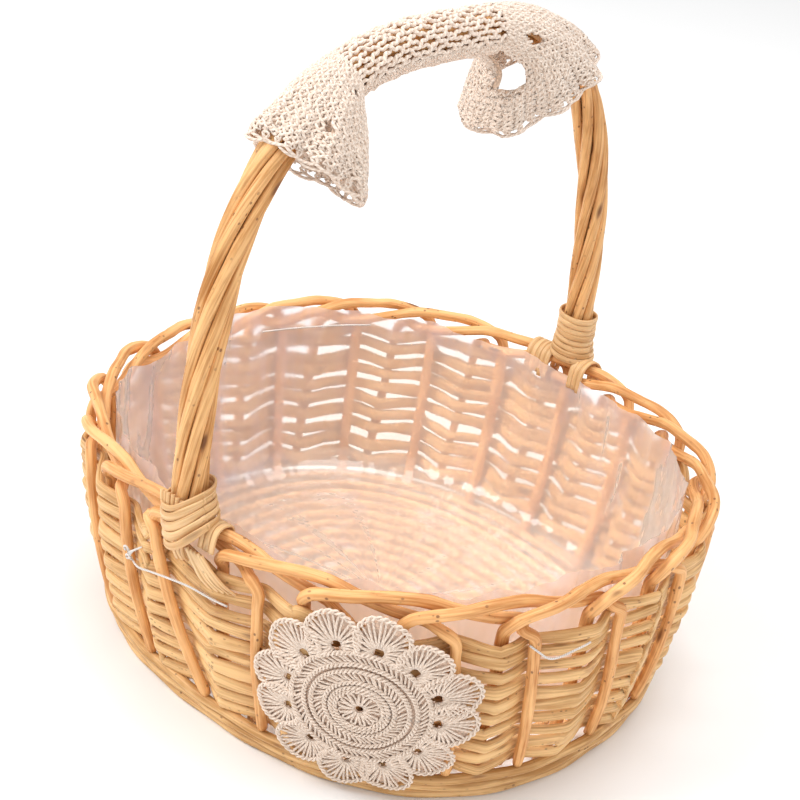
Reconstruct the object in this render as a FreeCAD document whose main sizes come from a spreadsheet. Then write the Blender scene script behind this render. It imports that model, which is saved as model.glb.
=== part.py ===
import FreeCAD, Part
import math
import os

from FreeCAD import Placement, Rotation, Vector

# A woven willow basket with an oval plan, a twisted fixed handle, a crochet handle
# sleeve, a crochet flower and a film liner.  The origin is under the middle of the
# basket on the surface it stands on: X runs along the basket, Y across it (the handle
# spans Y) and Z is up.  All lengths are millimetres.

# Sizes that can be set by themselves: alias, value, what it is.
DRIVING_SIZES = [
    ("basket_length", 300.0, "over the border rods, along X"),
    ("basket_width", 275.0, "over the border rods, along Y"),
    ("length_flare", 31.0, "how much longer the wall is at the border than at the floor"),
    ("width_flare", 38.0, "how much wider the wall is at the border than at the floor"),
    ("border_height", 111.0, "top of the border above the floor"),
    ("plan_squareness", 2.37, "exponent of the oval plan; 2 is an ellipse"),
    ("belly", 2.3, "exponent of the wall's outward curve"),
    ("stake_count", 21, "upright rods round the wall"),
    ("first_stake", 0.215, "place of the first stake, in stake spacings from +X"),
    ("rod_diameter", 5.2, "stakes and border rods"),
    ("weaver_thickness", 3.8, "weavers, through the wall"),
    ("weaver_count", 10, "rows of weavers"),
    ("first_row_height", 18.4, "middle of the lowest weaver"),
    ("top_row_room", 3.8, "middle of the highest weaver up to where the stakes begin to bend"),
    ("row_gap", 1.1, "between one row and the next"),
    ("waling_diameter", 4.8, "the three rods round the foot"),
    ("waling_flat", 0.2, "depth of the worn flat under the foot rod"),
    ("weave_gap", 0.35, "clearance between crossing rods"),
    ("stick_diameter", 4.0, "sticks of the base"),
    ("stick_spacing", 22.0, "between neighbouring base sticks"),
    ("base_cane_diameter", 3.2, "canes woven round the base"),
    ("base_cane_pitch", 9.0, "from cane to cane in the base"),
    ("handle_height", 300.0, "middle of the handle's top above the floor"),
    ("handle_squareness", 2.86, "exponent of the handle's arch"),
    ("handle_core_diameter", 4.6, "straight rod inside the handle"),
    ("strand_diameter", 5.0, "rods twisted round the core"),
    ("strand_lay", 210.0, "length of handle for one full twist"),
    ("skein_diameter", 2.2, "split cane of the foot bindings"),
    ("sleeve_wall", 1.5, "thickness of the crochet on the handle"),
    ("flower_diameter", 95.0, "crochet flower, over its petals"),
    ("flower_thickness", 2.4, "crochet flower"),
    ("liner_thickness", 0.8, "film liner with its gathers"),
    ("thread_diameter", 1.0, "thread that holds the liner"),
]
STRAND_COUNT = 6
SLEEVE_START, SLEEVE_END = 0.372, 0.548      # shares of the handle's length
SLEEVE_JOIN = 0.003                          # left free where a cuff begins

document = FreeCAD.newDocument("flower_basket")
sheet = document.addObject("Spreadsheet::Sheet", "Sizes")
for row, (alias, value, meaning) in enumerate(DRIVING_SIZES, start=1):
    sheet.set(f"A{row}", alias)
    sheet.set(f"B{row}", str(value))
    sheet.set(f"C{row}", meaning)
    sheet.setAlias(f"B{row}", alias)
document.recompute()

subparts = []


def size(alias):
    """One driving size, read back from the sheet."""
    return float(sheet.get(alias))


# ---------------------------------------------------------------- derived sizes
rod = size("rod_diameter")
gap = size("weave_gap")
border_height = size("border_height")
drawn_rod = 5.2                              # the border's bends are drawn for this rod
straight_drop = 14.2                         # from the top rail down to where the stakes begin to bend
border_depth_share = 0.5 + straight_drop / drawn_rod  # depth of the woven border, in rod diameters
row_pitch = (border_height - rod * border_depth_share - size("top_row_room")
             - size("first_row_height")) / (size("weaver_count") - 1)
weaver_depth = row_pitch - size("row_gap")
stake_count = int(size("stake_count"))
stake_offset = -0.6
stake_foot = 3.0
wall_slope = size("belly") * size("width_flare") / 2 / border_height  # where it leans most
slope_allowance = 1.016 * wall_slope         # more room for what lies on the leaning wall
outer_rod_offset = stake_offset + rod - 0.6
crossing = (rod + size("weaver_thickness")) / 2 + gap
kink_allowance = 0.9                         # a rounded kink comes this much nearer
weaver_outer_offset = stake_offset + crossing + kink_allowance
weaver_inner_offset = outer_rod_offset - crossing - kink_allowance
wall_reach = outer_rod_offset + rod / 2      # middle of the wall to the outer rods' faces
weaver_reach = weaver_outer_offset + size("weaver_thickness") / 2
waling_offset = stake_offset + (rod + size("waling_diameter")) / 2 + gap + slope_allowance
rail_height = border_height - rod / 2        # centre of the border's top rail
border_bend = rod / drawn_rod
turn_down_height = rail_height - 15.0 * border_bend  # where a border rod has turned down outside
turn_down_step = 2.44                        # stakes it has passed by then
outer_lean = 0.16                            # stakes more that it passes on its way down
lowest_outer = size("first_row_height") - weaver_depth / 2 + 0.4
stick_level = 0.6 + size("stick_diameter") / 2
top_stick_level = stick_level + size("stick_diameter") + gap
cane_level = top_stick_level + (size("stick_diameter") + size("base_cane_diameter")) / 2 + gap
liner_floor = cane_level + size("base_cane_diameter") / 2 + gap
border_inner_reach = 4.1 * border_bend + rod / 2
liner_offset = -(border_inner_reach + 2.5)
saddle_clearance = 0.3
thread_clearance = 0.05
strand_gap = 0.6                             # core to strand, so strands clear each other too
strand_side_gap = 0.4                        # least room between neighbouring strands
strand_orbit = max((size("handle_core_diameter") + size("strand_diameter")) / 2 + strand_gap,
                   (size("strand_diameter") + strand_side_gap) / (2 * math.sin(math.pi / STRAND_COUNT)))
handle_radius = strand_orbit + size("strand_diameter") / 2
sleeve_bore = handle_radius + 1.1
skein = size("skein_diameter")


# ---------------------------------------------------------------- the wall's surface
def half_axes(height):
    """Half length and half width of the wall's middle surface at a height."""
    share = min(max(height / border_height, 0.0), 1.0)
    grow = 1 - (1 - share) ** size("belly")
    halves = []
    for top, flare in (("basket_length", "length_flare"), ("basket_width", "width_flare")):
        top_half = size(top) / 2 - wall_reach
        foot_half = top_half - size(flare) / 2
        halves.append(foot_half + (top_half - foot_half) * grow)
    return halves


def signed_power(value, exponent):
    return math.copysign(abs(value) ** exponent, value)


def oval_point(half_length, half_width, angle):
    power = 2 / size("plan_squareness")
    return (half_length * signed_power(math.cos(angle), power),
            half_width * signed_power(math.sin(angle), power))


def oval_table(steps=2880):
    """Angles and the length of border walked to reach each, for even spacing."""
    half_length, half_width = half_axes(border_height)
    angles = [2 * math.pi * step / steps for step in range(steps + 1)]
    points = [oval_point(half_length, half_width, angle) for angle in angles]
    walked = [0.0]
    for before, after in zip(points, points[1:]):
        walked.append(walked[-1] + math.dist(before, after))
    return angles, walked


OVAL_ANGLES, OVAL_WALKED = oval_table()
SPACING = OVAL_WALKED[-1] / stake_count


def interpolate(value, known, wanted):
    """Linear look-up of value in the rising list known."""
    low, high = 0, len(known) - 1
    while high - low > 1:
        middle = (low + high) // 2
        if known[middle] <= value:
            low = middle
        else:
            high = middle
    share = (value - known[low]) / (known[high] - known[low])
    return wanted[low] + share * (wanted[high] - wanted[low])


def angle_at(place):
    """Oval angle at a place, counted in stake spacings from +X, anticlockwise."""
    turns, rest = divmod(place, stake_count)
    return turns * 2 * math.pi + interpolate(rest * SPACING, OVAL_WALKED, OVAL_ANGLES)


def wall_normal(place, height):
    half_length, half_width = half_axes(height)
    x, y = oval_point(half_length, half_width, angle_at(place))
    power = size("plan_squareness") - 1
    normal = Vector(signed_power(x / half_length, power) / half_length,
                    signed_power(y / half_width, power) / half_width, 0)
    return normal.normalize()


def wall_point(place, height, offset=0.0):
    """A point at a place and height, offset outwards from the middle of the wall."""
    half_length, half_width = half_axes(height)
    x, y = oval_point(half_length, half_width, angle_at(place))
    return Vector(x, y, height) + wall_normal(place, height) * offset


# ---------------------------------------------------------------- helpers
def add_subpart(feature, label):
    feature.Label = label
    subparts.append(feature)
    return feature


def rounded_path(points, share=0.45):
    """Straight runs between the points, joined by tangent arcs at the corners."""
    edges = []
    cursor = points[0]
    for before, corner, after in zip(points, points[1:], points[2:]):
        run_in = corner - before
        run_out = after - corner
        reach = share * min(run_in.Length, run_out.Length)
        heading_in = Vector(run_in).normalize()
        heading_out = Vector(run_out).normalize()
        half_turn = heading_in.getAngle(heading_out) / 2
        if half_turn < 0.002:
            continue
        start = corner - heading_in * reach
        end = corner + heading_out * reach
        radius = reach / math.tan(half_turn)
        inward = (heading_out - heading_in).normalize()
        middle = corner + inward * (radius / math.cos(half_turn) - radius)
        edges.append(Part.LineSegment(cursor, start).toShape())
        edges.append(Part.Arc(start, middle, end).toShape())
        cursor = end
    edges.append(Part.LineSegment(cursor, points[-1]).toShape())
    return Part.Wire(edges)


def face_along(origin, heading, major=Vector(0, 0, 1)):
    """Placement at origin whose Z is the heading and whose X is nearest to major."""
    across = heading.cross(major)
    if across.Length < 1e-6:
        across = heading.cross(Vector(1, 0, 0))
    return Placement(origin, Rotation(across.cross(heading), across, heading, "ZXY"))


def swept(name, points, section, bindings, share=0.45):
    """A Part sweep of a section, with sizes bound to the sheet, along rounded runs."""
    path = document.addObject("Part::Feature", name + "_path")
    path.Shape = rounded_path(points, share)
    outline = document.addObject(section, name + "_section")
    for prop, formula in bindings.items():
        outline.setExpression(prop, formula)
    outline.Placement = face_along(points[0], (points[1] - points[0]).normalize())
    sweep = document.addObject("Part::Sweep", name)
    sweep.Sections = [outline]
    sweep.Spine = (path, [])
    sweep.Solid = True
    sweep.Frenet = False
    return sweep


def round_rod(name, points, diameter_alias, share=0.45):
    return swept(name, points, "Part::Circle", {"Radius": f"Sizes.{diameter_alias} / 2"}, share)


def compound(label, pieces):
    group = document.addObject("Part::Compound", label)
    group.Links = pieces
    return add_subpart(group, label)


def cut(label, body, tool):
    result = document.addObject("Part::Cut", label)
    result.Base = body
    result.Tool = tool
    return add_subpart(result, label)


# ---------------------------------------------------------------- stakes and border
def outer_rod_place(stake, height):
    """Where the rod that began as this stake crosses a height on its way down."""
    share = (turn_down_height - height) / (turn_down_height - lowest_outer)
    return stake + turn_down_step + outer_lean * share


def stake_route(stake):
    """A stake inside the weave, along the border and down outside, as wall places."""
    turn_down = outer_rod_place(stake, turn_down_height)
    top = rail_height
    straight_top = top - straight_drop * border_bend
    route = []
    for share in (0.0, 0.09, 0.19, 0.30, 0.43, 0.58, 0.77, 1.0):
        route.append((stake, stake_foot + share * (straight_top - stake_foot), stake_offset))
    bends = [
        (stake, 10.0, 1.9),
        (stake + 0.15, 4.3, 3.7),
        (stake + 0.50, 0.6, 3.4),
        (stake + 0.85, 0.0, -0.4),
        (stake + 1.20, 0.3, -2.6),
        (stake + 1.55, 4.4, -3.4),
        (stake + 1.90, 8.2, -4.1),
        (stake + 2.20, 9.6, -2.9),
        (turn_down - 0.12, 11.0, 2.6),
    ]
    for place, drop, offset in bends:
        route.append((place, top - drop * border_bend, offset * border_bend))
    route.append((turn_down, turn_down_height, outer_rod_offset))
    for share in (0.23, 0.44, 0.60, 0.74, 0.87, 1.0):
        height = turn_down_height + share * (lowest_outer - turn_down_height)
        route.append((outer_rod_place(stake, height), height, outer_rod_offset))
    return route


for number in range(stake_count):
    place = size("first_stake") + number
    points = [wall_point(*stop) for stop in stake_route(place)]
    stake = round_rod(f"stake_{number + 1:02d}", points, "rod_diameter")
    add_subpart(stake, f"stake_{number + 1:02d}")


# ---------------------------------------------------------------- side weavers
def weaver_points(height):
    """In front of every stake, behind every outer rod, once round the wall."""
    points = []
    for number in range(stake_count):
        stake = size("first_stake") + number
        points.append(wall_point(stake, height, weaver_outer_offset))
        points.append(wall_point(outer_rod_place(stake - 2, height), height, weaver_inner_offset))
    end_gap = 0.04
    meeting = outer_rod_place(size("first_stake") - 3, height)
    start = wall_point(meeting + end_gap, height, weaver_inner_offset)
    end = wall_point(meeting + stake_count - end_gap, height, weaver_inner_offset)
    return [start] + points[:-1] + [end]


weaver_section = {
    "MajorRadius": (f"((Sizes.border_height - Sizes.rod_diameter * {border_depth_share}"
                    " - Sizes.top_row_room - Sizes.first_row_height)"
                    " / (Sizes.weaver_count - 1) - Sizes.row_gap) / 2"),
    "MinorRadius": "Sizes.weaver_thickness / 2",
}
for row in range(int(size("weaver_count"))):
    row_height = size("first_row_height") + row * row_pitch
    label = f"weaver_{row + 1:02d}"
    weaver = swept(label, weaver_points(row_height), "Part::Ellipse", weaver_section, share=0.18)
    add_subpart(weaver, label)


# ---------------------------------------------------------------- waling round the foot
def ring_points(height, offset, steps, shrink=1.0):
    """An open ring round the wall at one height, its two ends 1 mm apart."""
    places = [stake_count * step / steps for step in range(steps)]
    points = [wall_point(place + 0.25, height, offset) for place in places]
    heading = (points[0] - points[-1]).normalize()
    points.append(points[0] - heading)
    return [Vector(point.x * shrink, point.y * shrink, point.z) for point in points]


waling = size("waling_diameter")
waling_labels = ["foot_waling", "middle_waling", "upper_waling"]
for level, label in enumerate(waling_labels):
    height = waling / 2 - size("waling_flat") + level * (waling + gap)
    name = label + "_rod" if level == 0 else label
    ring = round_rod(name, ring_points(height, waling_offset, 2 * stake_count), "waling_diameter")
    if level > 0:
        add_subpart(ring, label)
        continue
    ground = document.addObject("Part::Box", "ground")
    ground.setExpression("Length", "Sizes.basket_length * 2")
    ground.setExpression("Width", "Sizes.basket_width * 2")
    ground.Height = waling
    ground.Placement.Base = Vector(-size("basket_length"), -size("basket_width"), -waling)
    cut(label, ring, ground)


# ---------------------------------------------------------------- the woven base
def stick_half_run(sideways, along_x):
    """Half length of a base stick that lies sideways of the middle."""
    half_length, half_width = half_axes(0.0)
    clear = stake_offset - rod / 2 - gap
    reach, across = half_length + clear, half_width + clear
    if not along_x:
        reach, across = across, reach
    power = size("plan_squareness")
    return reach * (1 - (abs(sideways) / across) ** power) ** (1 / power)


def base_sticks(label, count, along_x, level):
    pieces = []
    for number in range(count):
        sideways = (number - (count - 1) / 2) * size("stick_spacing")
        half_run = stick_half_run(sideways, along_x)
        stick = document.addObject("Part::Cylinder", f"{label}_{number + 1}")
        stick.setExpression("Radius", "Sizes.stick_diameter / 2")
        stick.Height = 2 * half_run
        if along_x:
            stick.Placement = face_along(Vector(-half_run, sideways, level), Vector(1, 0, 0))
        else:
            stick.Placement = face_along(Vector(sideways, -half_run, level), Vector(0, 1, 0))
        pieces.append(stick)
    return compound(label, pieces)


base_sticks("base_cross_sticks", 9, False, stick_level)
base_sticks("base_long_sticks", 7, True, top_stick_level)

base_canes = []
cane_offset = stake_offset - (rod + size("base_cane_diameter")) / 2 - gap
base_half_width = half_axes(cane_level)[1] + cane_offset
cane_rings = int(base_half_width / size("base_cane_pitch"))
for number in range(cane_rings):
    shrink = 1 - number * size("base_cane_pitch") / base_half_width
    points = ring_points(cane_level, cane_offset, 2 * stake_count, shrink)
    base_canes.append(round_rod(f"base_cane_{number + 1:02d}", points, "base_cane_diameter"))
compound("base_weave", base_canes)


# ---------------------------------------------------------------- the handle
handle_seat = 2.5                       # handle's middle outside the wall's middle
handle_half_span = half_axes(border_height)[1] + handle_seat
handle_root = border_height - 8.0       # where the arch's curve begins, inside the border
handle_foot = border_height + 2.5       # where its rods end, on the border


def arch_table(steps=1440):
    """Points along the handle's arch in the plane X = 0, above the foot."""
    rise = size("handle_height") - handle_root
    power = 2 / size("handle_squareness")
    points = []
    for step in range(steps + 1):
        angle = math.pi * step / steps
        y = -handle_half_span * signed_power(math.cos(angle), power)
        z = handle_root + rise * abs(math.sin(angle)) ** power
        if z >= handle_foot:
            points.append((y, z))
    walked = [0.0]
    for before, after in zip(points, points[1:]):
        walked.append(walked[-1] + math.dist(before, after))
    return points, walked


ARCH_POINTS, ARCH_WALKED = arch_table()
ARCH_LENGTH = ARCH_WALKED[-1]


def arch_point(share):
    """Point on the handle's middle line at a share of its length from the -Y foot."""
    walked = share * ARCH_LENGTH
    y = interpolate(walked, ARCH_WALKED, [point[0] for point in ARCH_POINTS])
    z = interpolate(walked, ARCH_WALKED, [point[1] for point in ARCH_POINTS])
    return Vector(0, y, z)


def arch_heading(share):
    step = 0.004
    return (arch_point(min(share + step, 1.0)) - arch_point(max(share - step, 0.0))).normalize()


def arch_outward(share):
    """Unit vector away from the inside of the arch, across the handle."""
    return Vector(1, 0, 0).cross(arch_heading(share))


def arch_run(first, last, steps, orbit=0.0, phase=0.0):
    """Points along the arch, circling its middle line once in each strand lay."""
    points = []
    for step in range(steps + 1):
        share = first + (last - first) * step / steps
        angle = phase + 2 * math.pi * share * ARCH_LENGTH / size("strand_lay")
        across = arch_outward(share) * math.cos(angle) + Vector(1, 0, 0) * math.sin(angle)
        points.append(arch_point(share) + across * orbit)
    return points


HANDLE_STEPS = 26
core = round_rod("handle_core", arch_run(0.0, 1.0, HANDLE_STEPS), "handle_core_diameter")
add_subpart(core, "handle_core")
for number in range(STRAND_COUNT):
    points = arch_run(0.0, 1.0, HANDLE_STEPS, strand_orbit, 2 * math.pi * number / STRAND_COUNT)
    strand = round_rod(f"handle_strand_{number + 1}", points, "strand_diameter")
    add_subpart(strand, f"handle_strand_{number + 1}")


# ---------------------------------------------------------------- foot bindings
def foot_wraps(label, side, turns):
    """Turns of split cane round the handle, stacked up from the border."""
    pieces = []
    for turn in range(turns):
        ring = document.addObject("Part::Torus", f"{label}_{turn + 1}")
        ring.Radius1 = handle_radius + skein / 2 + gap
        ring.setExpression("Radius2", "Sizes.skein_diameter / 2")
        height = handle_foot + skein / 2 + gap + turn * (skein + 0.1)
        ring.Placement.Base = Vector(0, side * handle_half_span, height)
        pieces.append(ring)
    return compound(label, pieces)


def foot_saddles(place, reach_down):
    """Flat strips of split cane laid over the border on both sides of a foot."""
    pieces = []
    outer = wall_reach + saddle_clearance
    inner = liner_offset + saddle_clearance + skein * 0.6
    top = border_height + saddle_clearance
    bend = skein * 0.6
    for side in (-1, 1):
        for strip in range(3):
            here = place + side * (0.17 + 0.066 * strip)
            profile = [(outer, top - reach_down), (outer, top), (inner, top), (inner, top - 14.0),
                       (inner - bend, top - 14.0), (inner - bend, top + bend),
                       (outer + bend, top + bend), (outer + bend, top - reach_down)]
            origin = wall_point(here, border_height)
            normal = wall_normal(here, border_height)
            along = Vector(-normal.y, normal.x, 0)
            corners = [origin + normal * out + Vector(0, 0, up - border_height) for out, up in profile]
            corners = [corner - along * (skein / 2) for corner in corners]
            face = Part.Face(Part.makePolygon(corners + corners[:1]))
            pieces.append(face.extrude(along * skein))
    return pieces


def foot_fan(place):
    """Parallel strips that leave the -Y foot and run down the wall at a slant."""
    pieces = []
    for strip in range(5):
        start = wall_point(place + 0.20 + 0.075 * strip, border_height - 10.0, wall_reach + 0.6)
        end = wall_point(place + 0.50 + 0.075 * strip, border_height - 24.0, wall_reach + 0.6)
        heading = end - start
        strip_box = Part.makeBox(1.3, skein, heading.Length)
        normal = wall_normal(place, border_height)
        strip_box.Placement = face_along(start, heading.normalize(), normal)
        pieces.append(strip_box)
    return pieces


def binding(label, solids):
    feature = document.addObject("Part::Feature", label)
    feature.Shape = Part.makeCompound(solids)
    return add_subpart(feature, label)


near_foot_place = 3 * stake_count / 4
far_foot_place = stake_count / 4
foot_wraps("near_foot_wraps", -1, 4)
foot_wraps("far_foot_wraps", 1, 9)
near_upright = size("first_stake") + round(near_foot_place - size("first_stake") - 0.5) + 0.5
far_upright = size("first_stake") + round(far_foot_place - size("first_stake"))
binding("near_foot_lashing", foot_saddles(near_upright, 8.5) + foot_fan(near_foot_place))
binding("far_foot_lashing", foot_saddles(far_upright, 10.0))


# ---------------------------------------------------------------- crochet on the handle
def tube_along_arch(label, first, last):
    """A round tube of crochet that follows the handle."""
    steps = 9
    tools = []
    for side, radius in (("outside", sleeve_bore + size("sleeve_wall")), ("bore", sleeve_bore)):
        points = arch_run(first, last, steps)
        tools.append(swept(f"{label}_{side}", points, "Part::Circle", {"Radius": str(radius)}))
    return cut(label, *tools)


def cuff(label, rings):
    """A flared frill: oval rings from handle side to hanging side, half width each."""
    tools = []
    for side, less in (("outside", 0.0), ("inside", size("sleeve_wall"))):
        sections = []
        for number, (top, bottom, half_width) in enumerate(rings):
            middle = (top + bottom) / 2
            down = (bottom - top).normalize()
            oval = document.addObject("Part::Ellipse", f"{label}_{side}_{number}")
            oval.MajorRadius = (bottom - top).Length / 2 - less
            oval.MinorRadius = min(half_width - less, oval.MajorRadius.Value - 0.01)
            oval.Placement = Placement(middle, Rotation(down, Vector(1, 0, 0), Vector(), "XYZ"))
            sections.append(oval)
        loft = document.addObject("Part::Loft", f"{label}_{side}")
        loft.Sections = sections
        loft.Solid = True
        tools.append(loft)
    return cut(label, *tools)


def arch_ring(share, radius):
    """The collar of a cuff, square to the handle."""
    reach = arch_outward(share) * radius
    return (arch_point(share) + reach, arch_point(share) - reach, radius)


def hung_ring(share, stand_off, bottom_y, bottom_z, half_width):
    """A ring held up by the handle at one end and hanging free at the other."""
    return (arch_point(share) + arch_outward(share) * stand_off, Vector(0, bottom_y, bottom_z), half_width)


sleeve_radius = sleeve_bore + size("sleeve_wall")
tube_along_arch("crochet_sleeve", SLEEVE_START + SLEEVE_JOIN, SLEEVE_END - SLEEVE_JOIN)
cuff("crochet_cuff_near", [
    arch_ring(SLEEVE_START, sleeve_radius),
    hung_ring(0.343, sleeve_radius + 1.5, -59.0, 264.0, 17.0),
    hung_ring(0.300, sleeve_radius + 4.0, -57.0, 238.0, 23.0),
])
cuff("crochet_cuff_far", [
    arch_ring(SLEEVE_END, sleeve_radius),
    hung_ring(0.595, sleeve_radius + 1.0, 34.0, 276.0, 17.0),
    hung_ring(0.645, sleeve_radius + 1.0, 26.0, 261.0, 23.0),
    hung_ring(0.690, sleeve_radius + 2.0, 21.0, 252.0, 26.0),
])


# ---------------------------------------------------------------- crochet flower
def circle_radius(first, middle, last):
    """Radius of the circle through three points."""
    return Part.Circle(first, middle, last).Radius


flower_place = 17.92 / 21 * stake_count
flower_height = border_height / 2 - 1.5      # near the middle of the wall
flower_offset = gap + max(waling_offset + size("waling_diameter") / 2, wall_reach, weaver_reach)
flower_half = size("flower_diameter") / 2
flower_side = flower_half / SPACING
flower_centre = wall_point(flower_place, flower_height, flower_offset)
low_edge = wall_point(flower_place, flower_height - flower_half * 0.92, flower_offset)
high_edge = wall_point(flower_place, flower_height + flower_half * 0.92, flower_offset)
flower_up = (high_edge - low_edge).normalize()
flower_level = Vector(-wall_normal(flower_place, flower_height).y,
                      wall_normal(flower_place, flower_height).x, 0)
flower_out = flower_level.cross(flower_up).normalize()
bend_sideways = circle_radius(wall_point(flower_place - flower_side, flower_height, flower_offset),
                              flower_centre,
                              wall_point(flower_place + flower_side, flower_height, flower_offset))
bend_upright = circle_radius(low_edge, flower_centre, high_edge)


def flower_band():
    """A patch of shell, curved both ways like the wall outside the rods."""
    half = flower_half + 3.0
    thick = size("flower_thickness")
    middle = flower_centre - flower_out * bend_upright
    tilt = math.asin(half / bend_upright)
    corners = []
    for radius in (bend_upright, bend_upright + thick):
        arc = []
        for angle in (-tilt, 0.0, tilt):
            arc.append(middle + flower_out * radius * math.cos(angle) + flower_up * radius * math.sin(angle))
        corners.append(arc)
    inner, outer = corners
    outline = Part.Wire([Part.Arc(*inner).toShape(),
                         Part.LineSegment(inner[2], outer[2]).toShape(),
                         Part.Arc(outer[2], outer[1], outer[0]).toShape(),
                         Part.LineSegment(outer[0], inner[0]).toShape()])
    sweep_angle = 2 * math.degrees(half / bend_sideways)
    face = Part.Face(outline)
    axis_point = flower_centre - flower_out * bend_sideways
    face.rotate(axis_point, flower_up, -sweep_angle / 2)
    return face.revolve(axis_point, flower_up, sweep_angle)


def flower_blank():
    """A scalloped plate with a hole in its middle, as deep as the flower's curve."""
    body = document.addObject("PartDesign::Body", "flower_blank")
    sketch = body.newObject("Sketcher::SketchObject", "flower_outline")
    planes = [plane for plane in body.Origin.OriginFeatures if plane.Role == "XY_Plane"]
    sketch.AttachmentSupport = [(planes[0], "")]
    sketch.MapMode = "FlatFace"
    petals = 12
    valley = flower_half * 0.9
    for petal in range(petals):
        spots = []
        for share, radius in ((-0.5, valley), (0.0, flower_half), (0.5, valley)):
            angle = 2 * math.pi * (petal + share) / petals
            spots.append(Vector(radius * math.cos(angle), radius * math.sin(angle), 0))
        sketch.addGeometry(Part.Arc(*spots), False)
    sketch.addGeometry(Part.Circle(Vector(0, 0, 0), Vector(0, 0, 1), 1.6), False)
    pad = body.newObject("PartDesign::Pad", "flower_pad")
    pad.Profile = sketch
    pad.Midplane = True
    pad.setExpression("Length", "Sizes.flower_diameter")
    body.Tip = pad
    body.Placement = Placement(flower_centre, Rotation(flower_level, flower_up, flower_out, "ZXY"))
    return body


band = document.addObject("Part::Feature", "flower_band")
band.Shape = flower_band()
flower = document.addObject("Part::Common", "crochet_flower")
flower.Base = band
flower.Tool = flower_blank()
add_subpart(flower, "crochet_flower")


# ---------------------------------------------------------------- film liner
def liner_shell(name, less, floor):
    """The liner's outer or inner side, as ruled rings of straight runs."""
    sections = []
    top = border_height - 5.5
    for share in (0.0, 0.16, 0.4, 0.7, 1.0):
        height = floor + (top - floor) * share
        count = 3 * stake_count
        places = [stake_count * step / count for step in range(count)]
        tuck = liner_offset - less - max(0.0, 0.16 - share) * 20.0
        ring = [wall_point(place, height, tuck) for place in places]
        wire = document.addObject("Part::Feature", f"{name}_{len(sections)}")
        wire.Shape = Part.makePolygon(ring + ring[:1])
        sections.append(wire)
    loft = document.addObject("Part::Loft", name)
    loft.Sections = sections
    loft.Solid = True
    loft.Ruled = True
    return loft


liner_wall = size("liner_thickness")
cut("liner", liner_shell("liner_outside", 0.0, liner_floor),
    liner_shell("liner_inside", liner_wall, liner_floor + liner_wall))


# ---------------------------------------------------------------- liner thread
def stitches():
    """Three long stitches: two outside the wall and one inside the far side."""
    outside = max(wall_reach, weaver_reach) + thread_clearance + size("thread_diameter") / 2
    inside = liner_offset - liner_wall - size("thread_diameter")
    runs = [                                 # places round the wall and drops below the border's top
        [(14.93, 42.0, outside), (15.45, 35.0, outside), (15.95, 31.0, outside), (16.40, 30.5, outside)],
        [(19.50, 21.8, outside), (19.72, 27.5, outside), (19.95, 26.0, outside), (20.15, 26.5, outside)],
        [(8.05, 11.0, inside), (8.60, 12.0, inside), (9.15, 12.4, inside), (9.70, 11.6, inside)],
    ]
    pieces = []
    for number, run in enumerate(runs):
        points = [wall_point(place / 21 * stake_count, border_height - drop, offset)
                  for place, drop, offset in run]
        pieces.append(round_rod(f"stitch_{number + 1}", points, "thread_diameter"))
    return compound("liner_stitches", pieces)


stitches()

# ---------------------------------------------------------------- check and write
document.recompute()
for feature in document.Objects:
    if {"Invalid", "Error"} & set(feature.State):
        raise RuntimeError(f"{feature.Name} failed to build: {feature.State}")
for feature in subparts:
    if feature.Shape.isNull() or not feature.Shape.isValid():
        raise RuntimeError(f"{feature.Label} has no valid shape")

os.makedirs("parts", exist_ok=True)
for feature in subparts:
    feature.Shape.exportStep(os.path.join("parts", feature.Label + ".step"))
    box = feature.Shape.BoundBox
    print(f"{feature.Label:22s} solids {len(feature.Shape.Solids):3d}  volume {feature.Shape.Volume:10.1f}"
          f"  z {box.ZMin:7.2f} to {box.ZMax:7.2f}")
print(len(subparts), "sub-parts written")
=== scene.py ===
"""Dresses a woven willow basket with a twisted handle, crochet trim and a film liner."""

import logging
import math
from bisect import bisect_right
from dataclasses import dataclass, field
from enum import Enum
from itertools import pairwise
from typing import Callable, Iterable, Sequence, TypeAlias

import bmesh
import bpy
from mathutils import Matrix, Vector, noise

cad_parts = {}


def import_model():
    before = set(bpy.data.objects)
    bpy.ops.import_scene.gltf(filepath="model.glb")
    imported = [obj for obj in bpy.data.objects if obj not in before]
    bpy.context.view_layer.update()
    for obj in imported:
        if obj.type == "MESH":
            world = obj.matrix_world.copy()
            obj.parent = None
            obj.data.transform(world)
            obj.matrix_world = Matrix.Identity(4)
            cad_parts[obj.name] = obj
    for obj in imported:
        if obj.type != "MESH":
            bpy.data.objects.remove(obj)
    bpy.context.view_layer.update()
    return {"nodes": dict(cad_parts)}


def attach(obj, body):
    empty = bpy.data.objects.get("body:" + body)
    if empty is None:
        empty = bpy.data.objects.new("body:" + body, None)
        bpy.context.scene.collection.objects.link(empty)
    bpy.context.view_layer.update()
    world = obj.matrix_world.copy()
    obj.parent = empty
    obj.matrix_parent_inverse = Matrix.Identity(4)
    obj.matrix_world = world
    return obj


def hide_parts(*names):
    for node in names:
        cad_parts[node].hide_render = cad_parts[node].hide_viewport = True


logging.basicConfig(level=logging.INFO, format="%(message)s")
LOG = logging.getLogger("flower_basket")

MM = 0.001
UP = Vector((0.0, 0.0, 1.0))
LONG = Vector((1.0, 0.0, 0.0))
GRAIN = "grain"
TONE = "tone"
BODY = "root"

Colour: TypeAlias = tuple[float, float, float, float]
Spot: TypeAlias = tuple[float, float, float]
HungRing: TypeAlias = tuple[float, float, float, float, float]
Facing: TypeAlias = Callable[[int], Vector]


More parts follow.
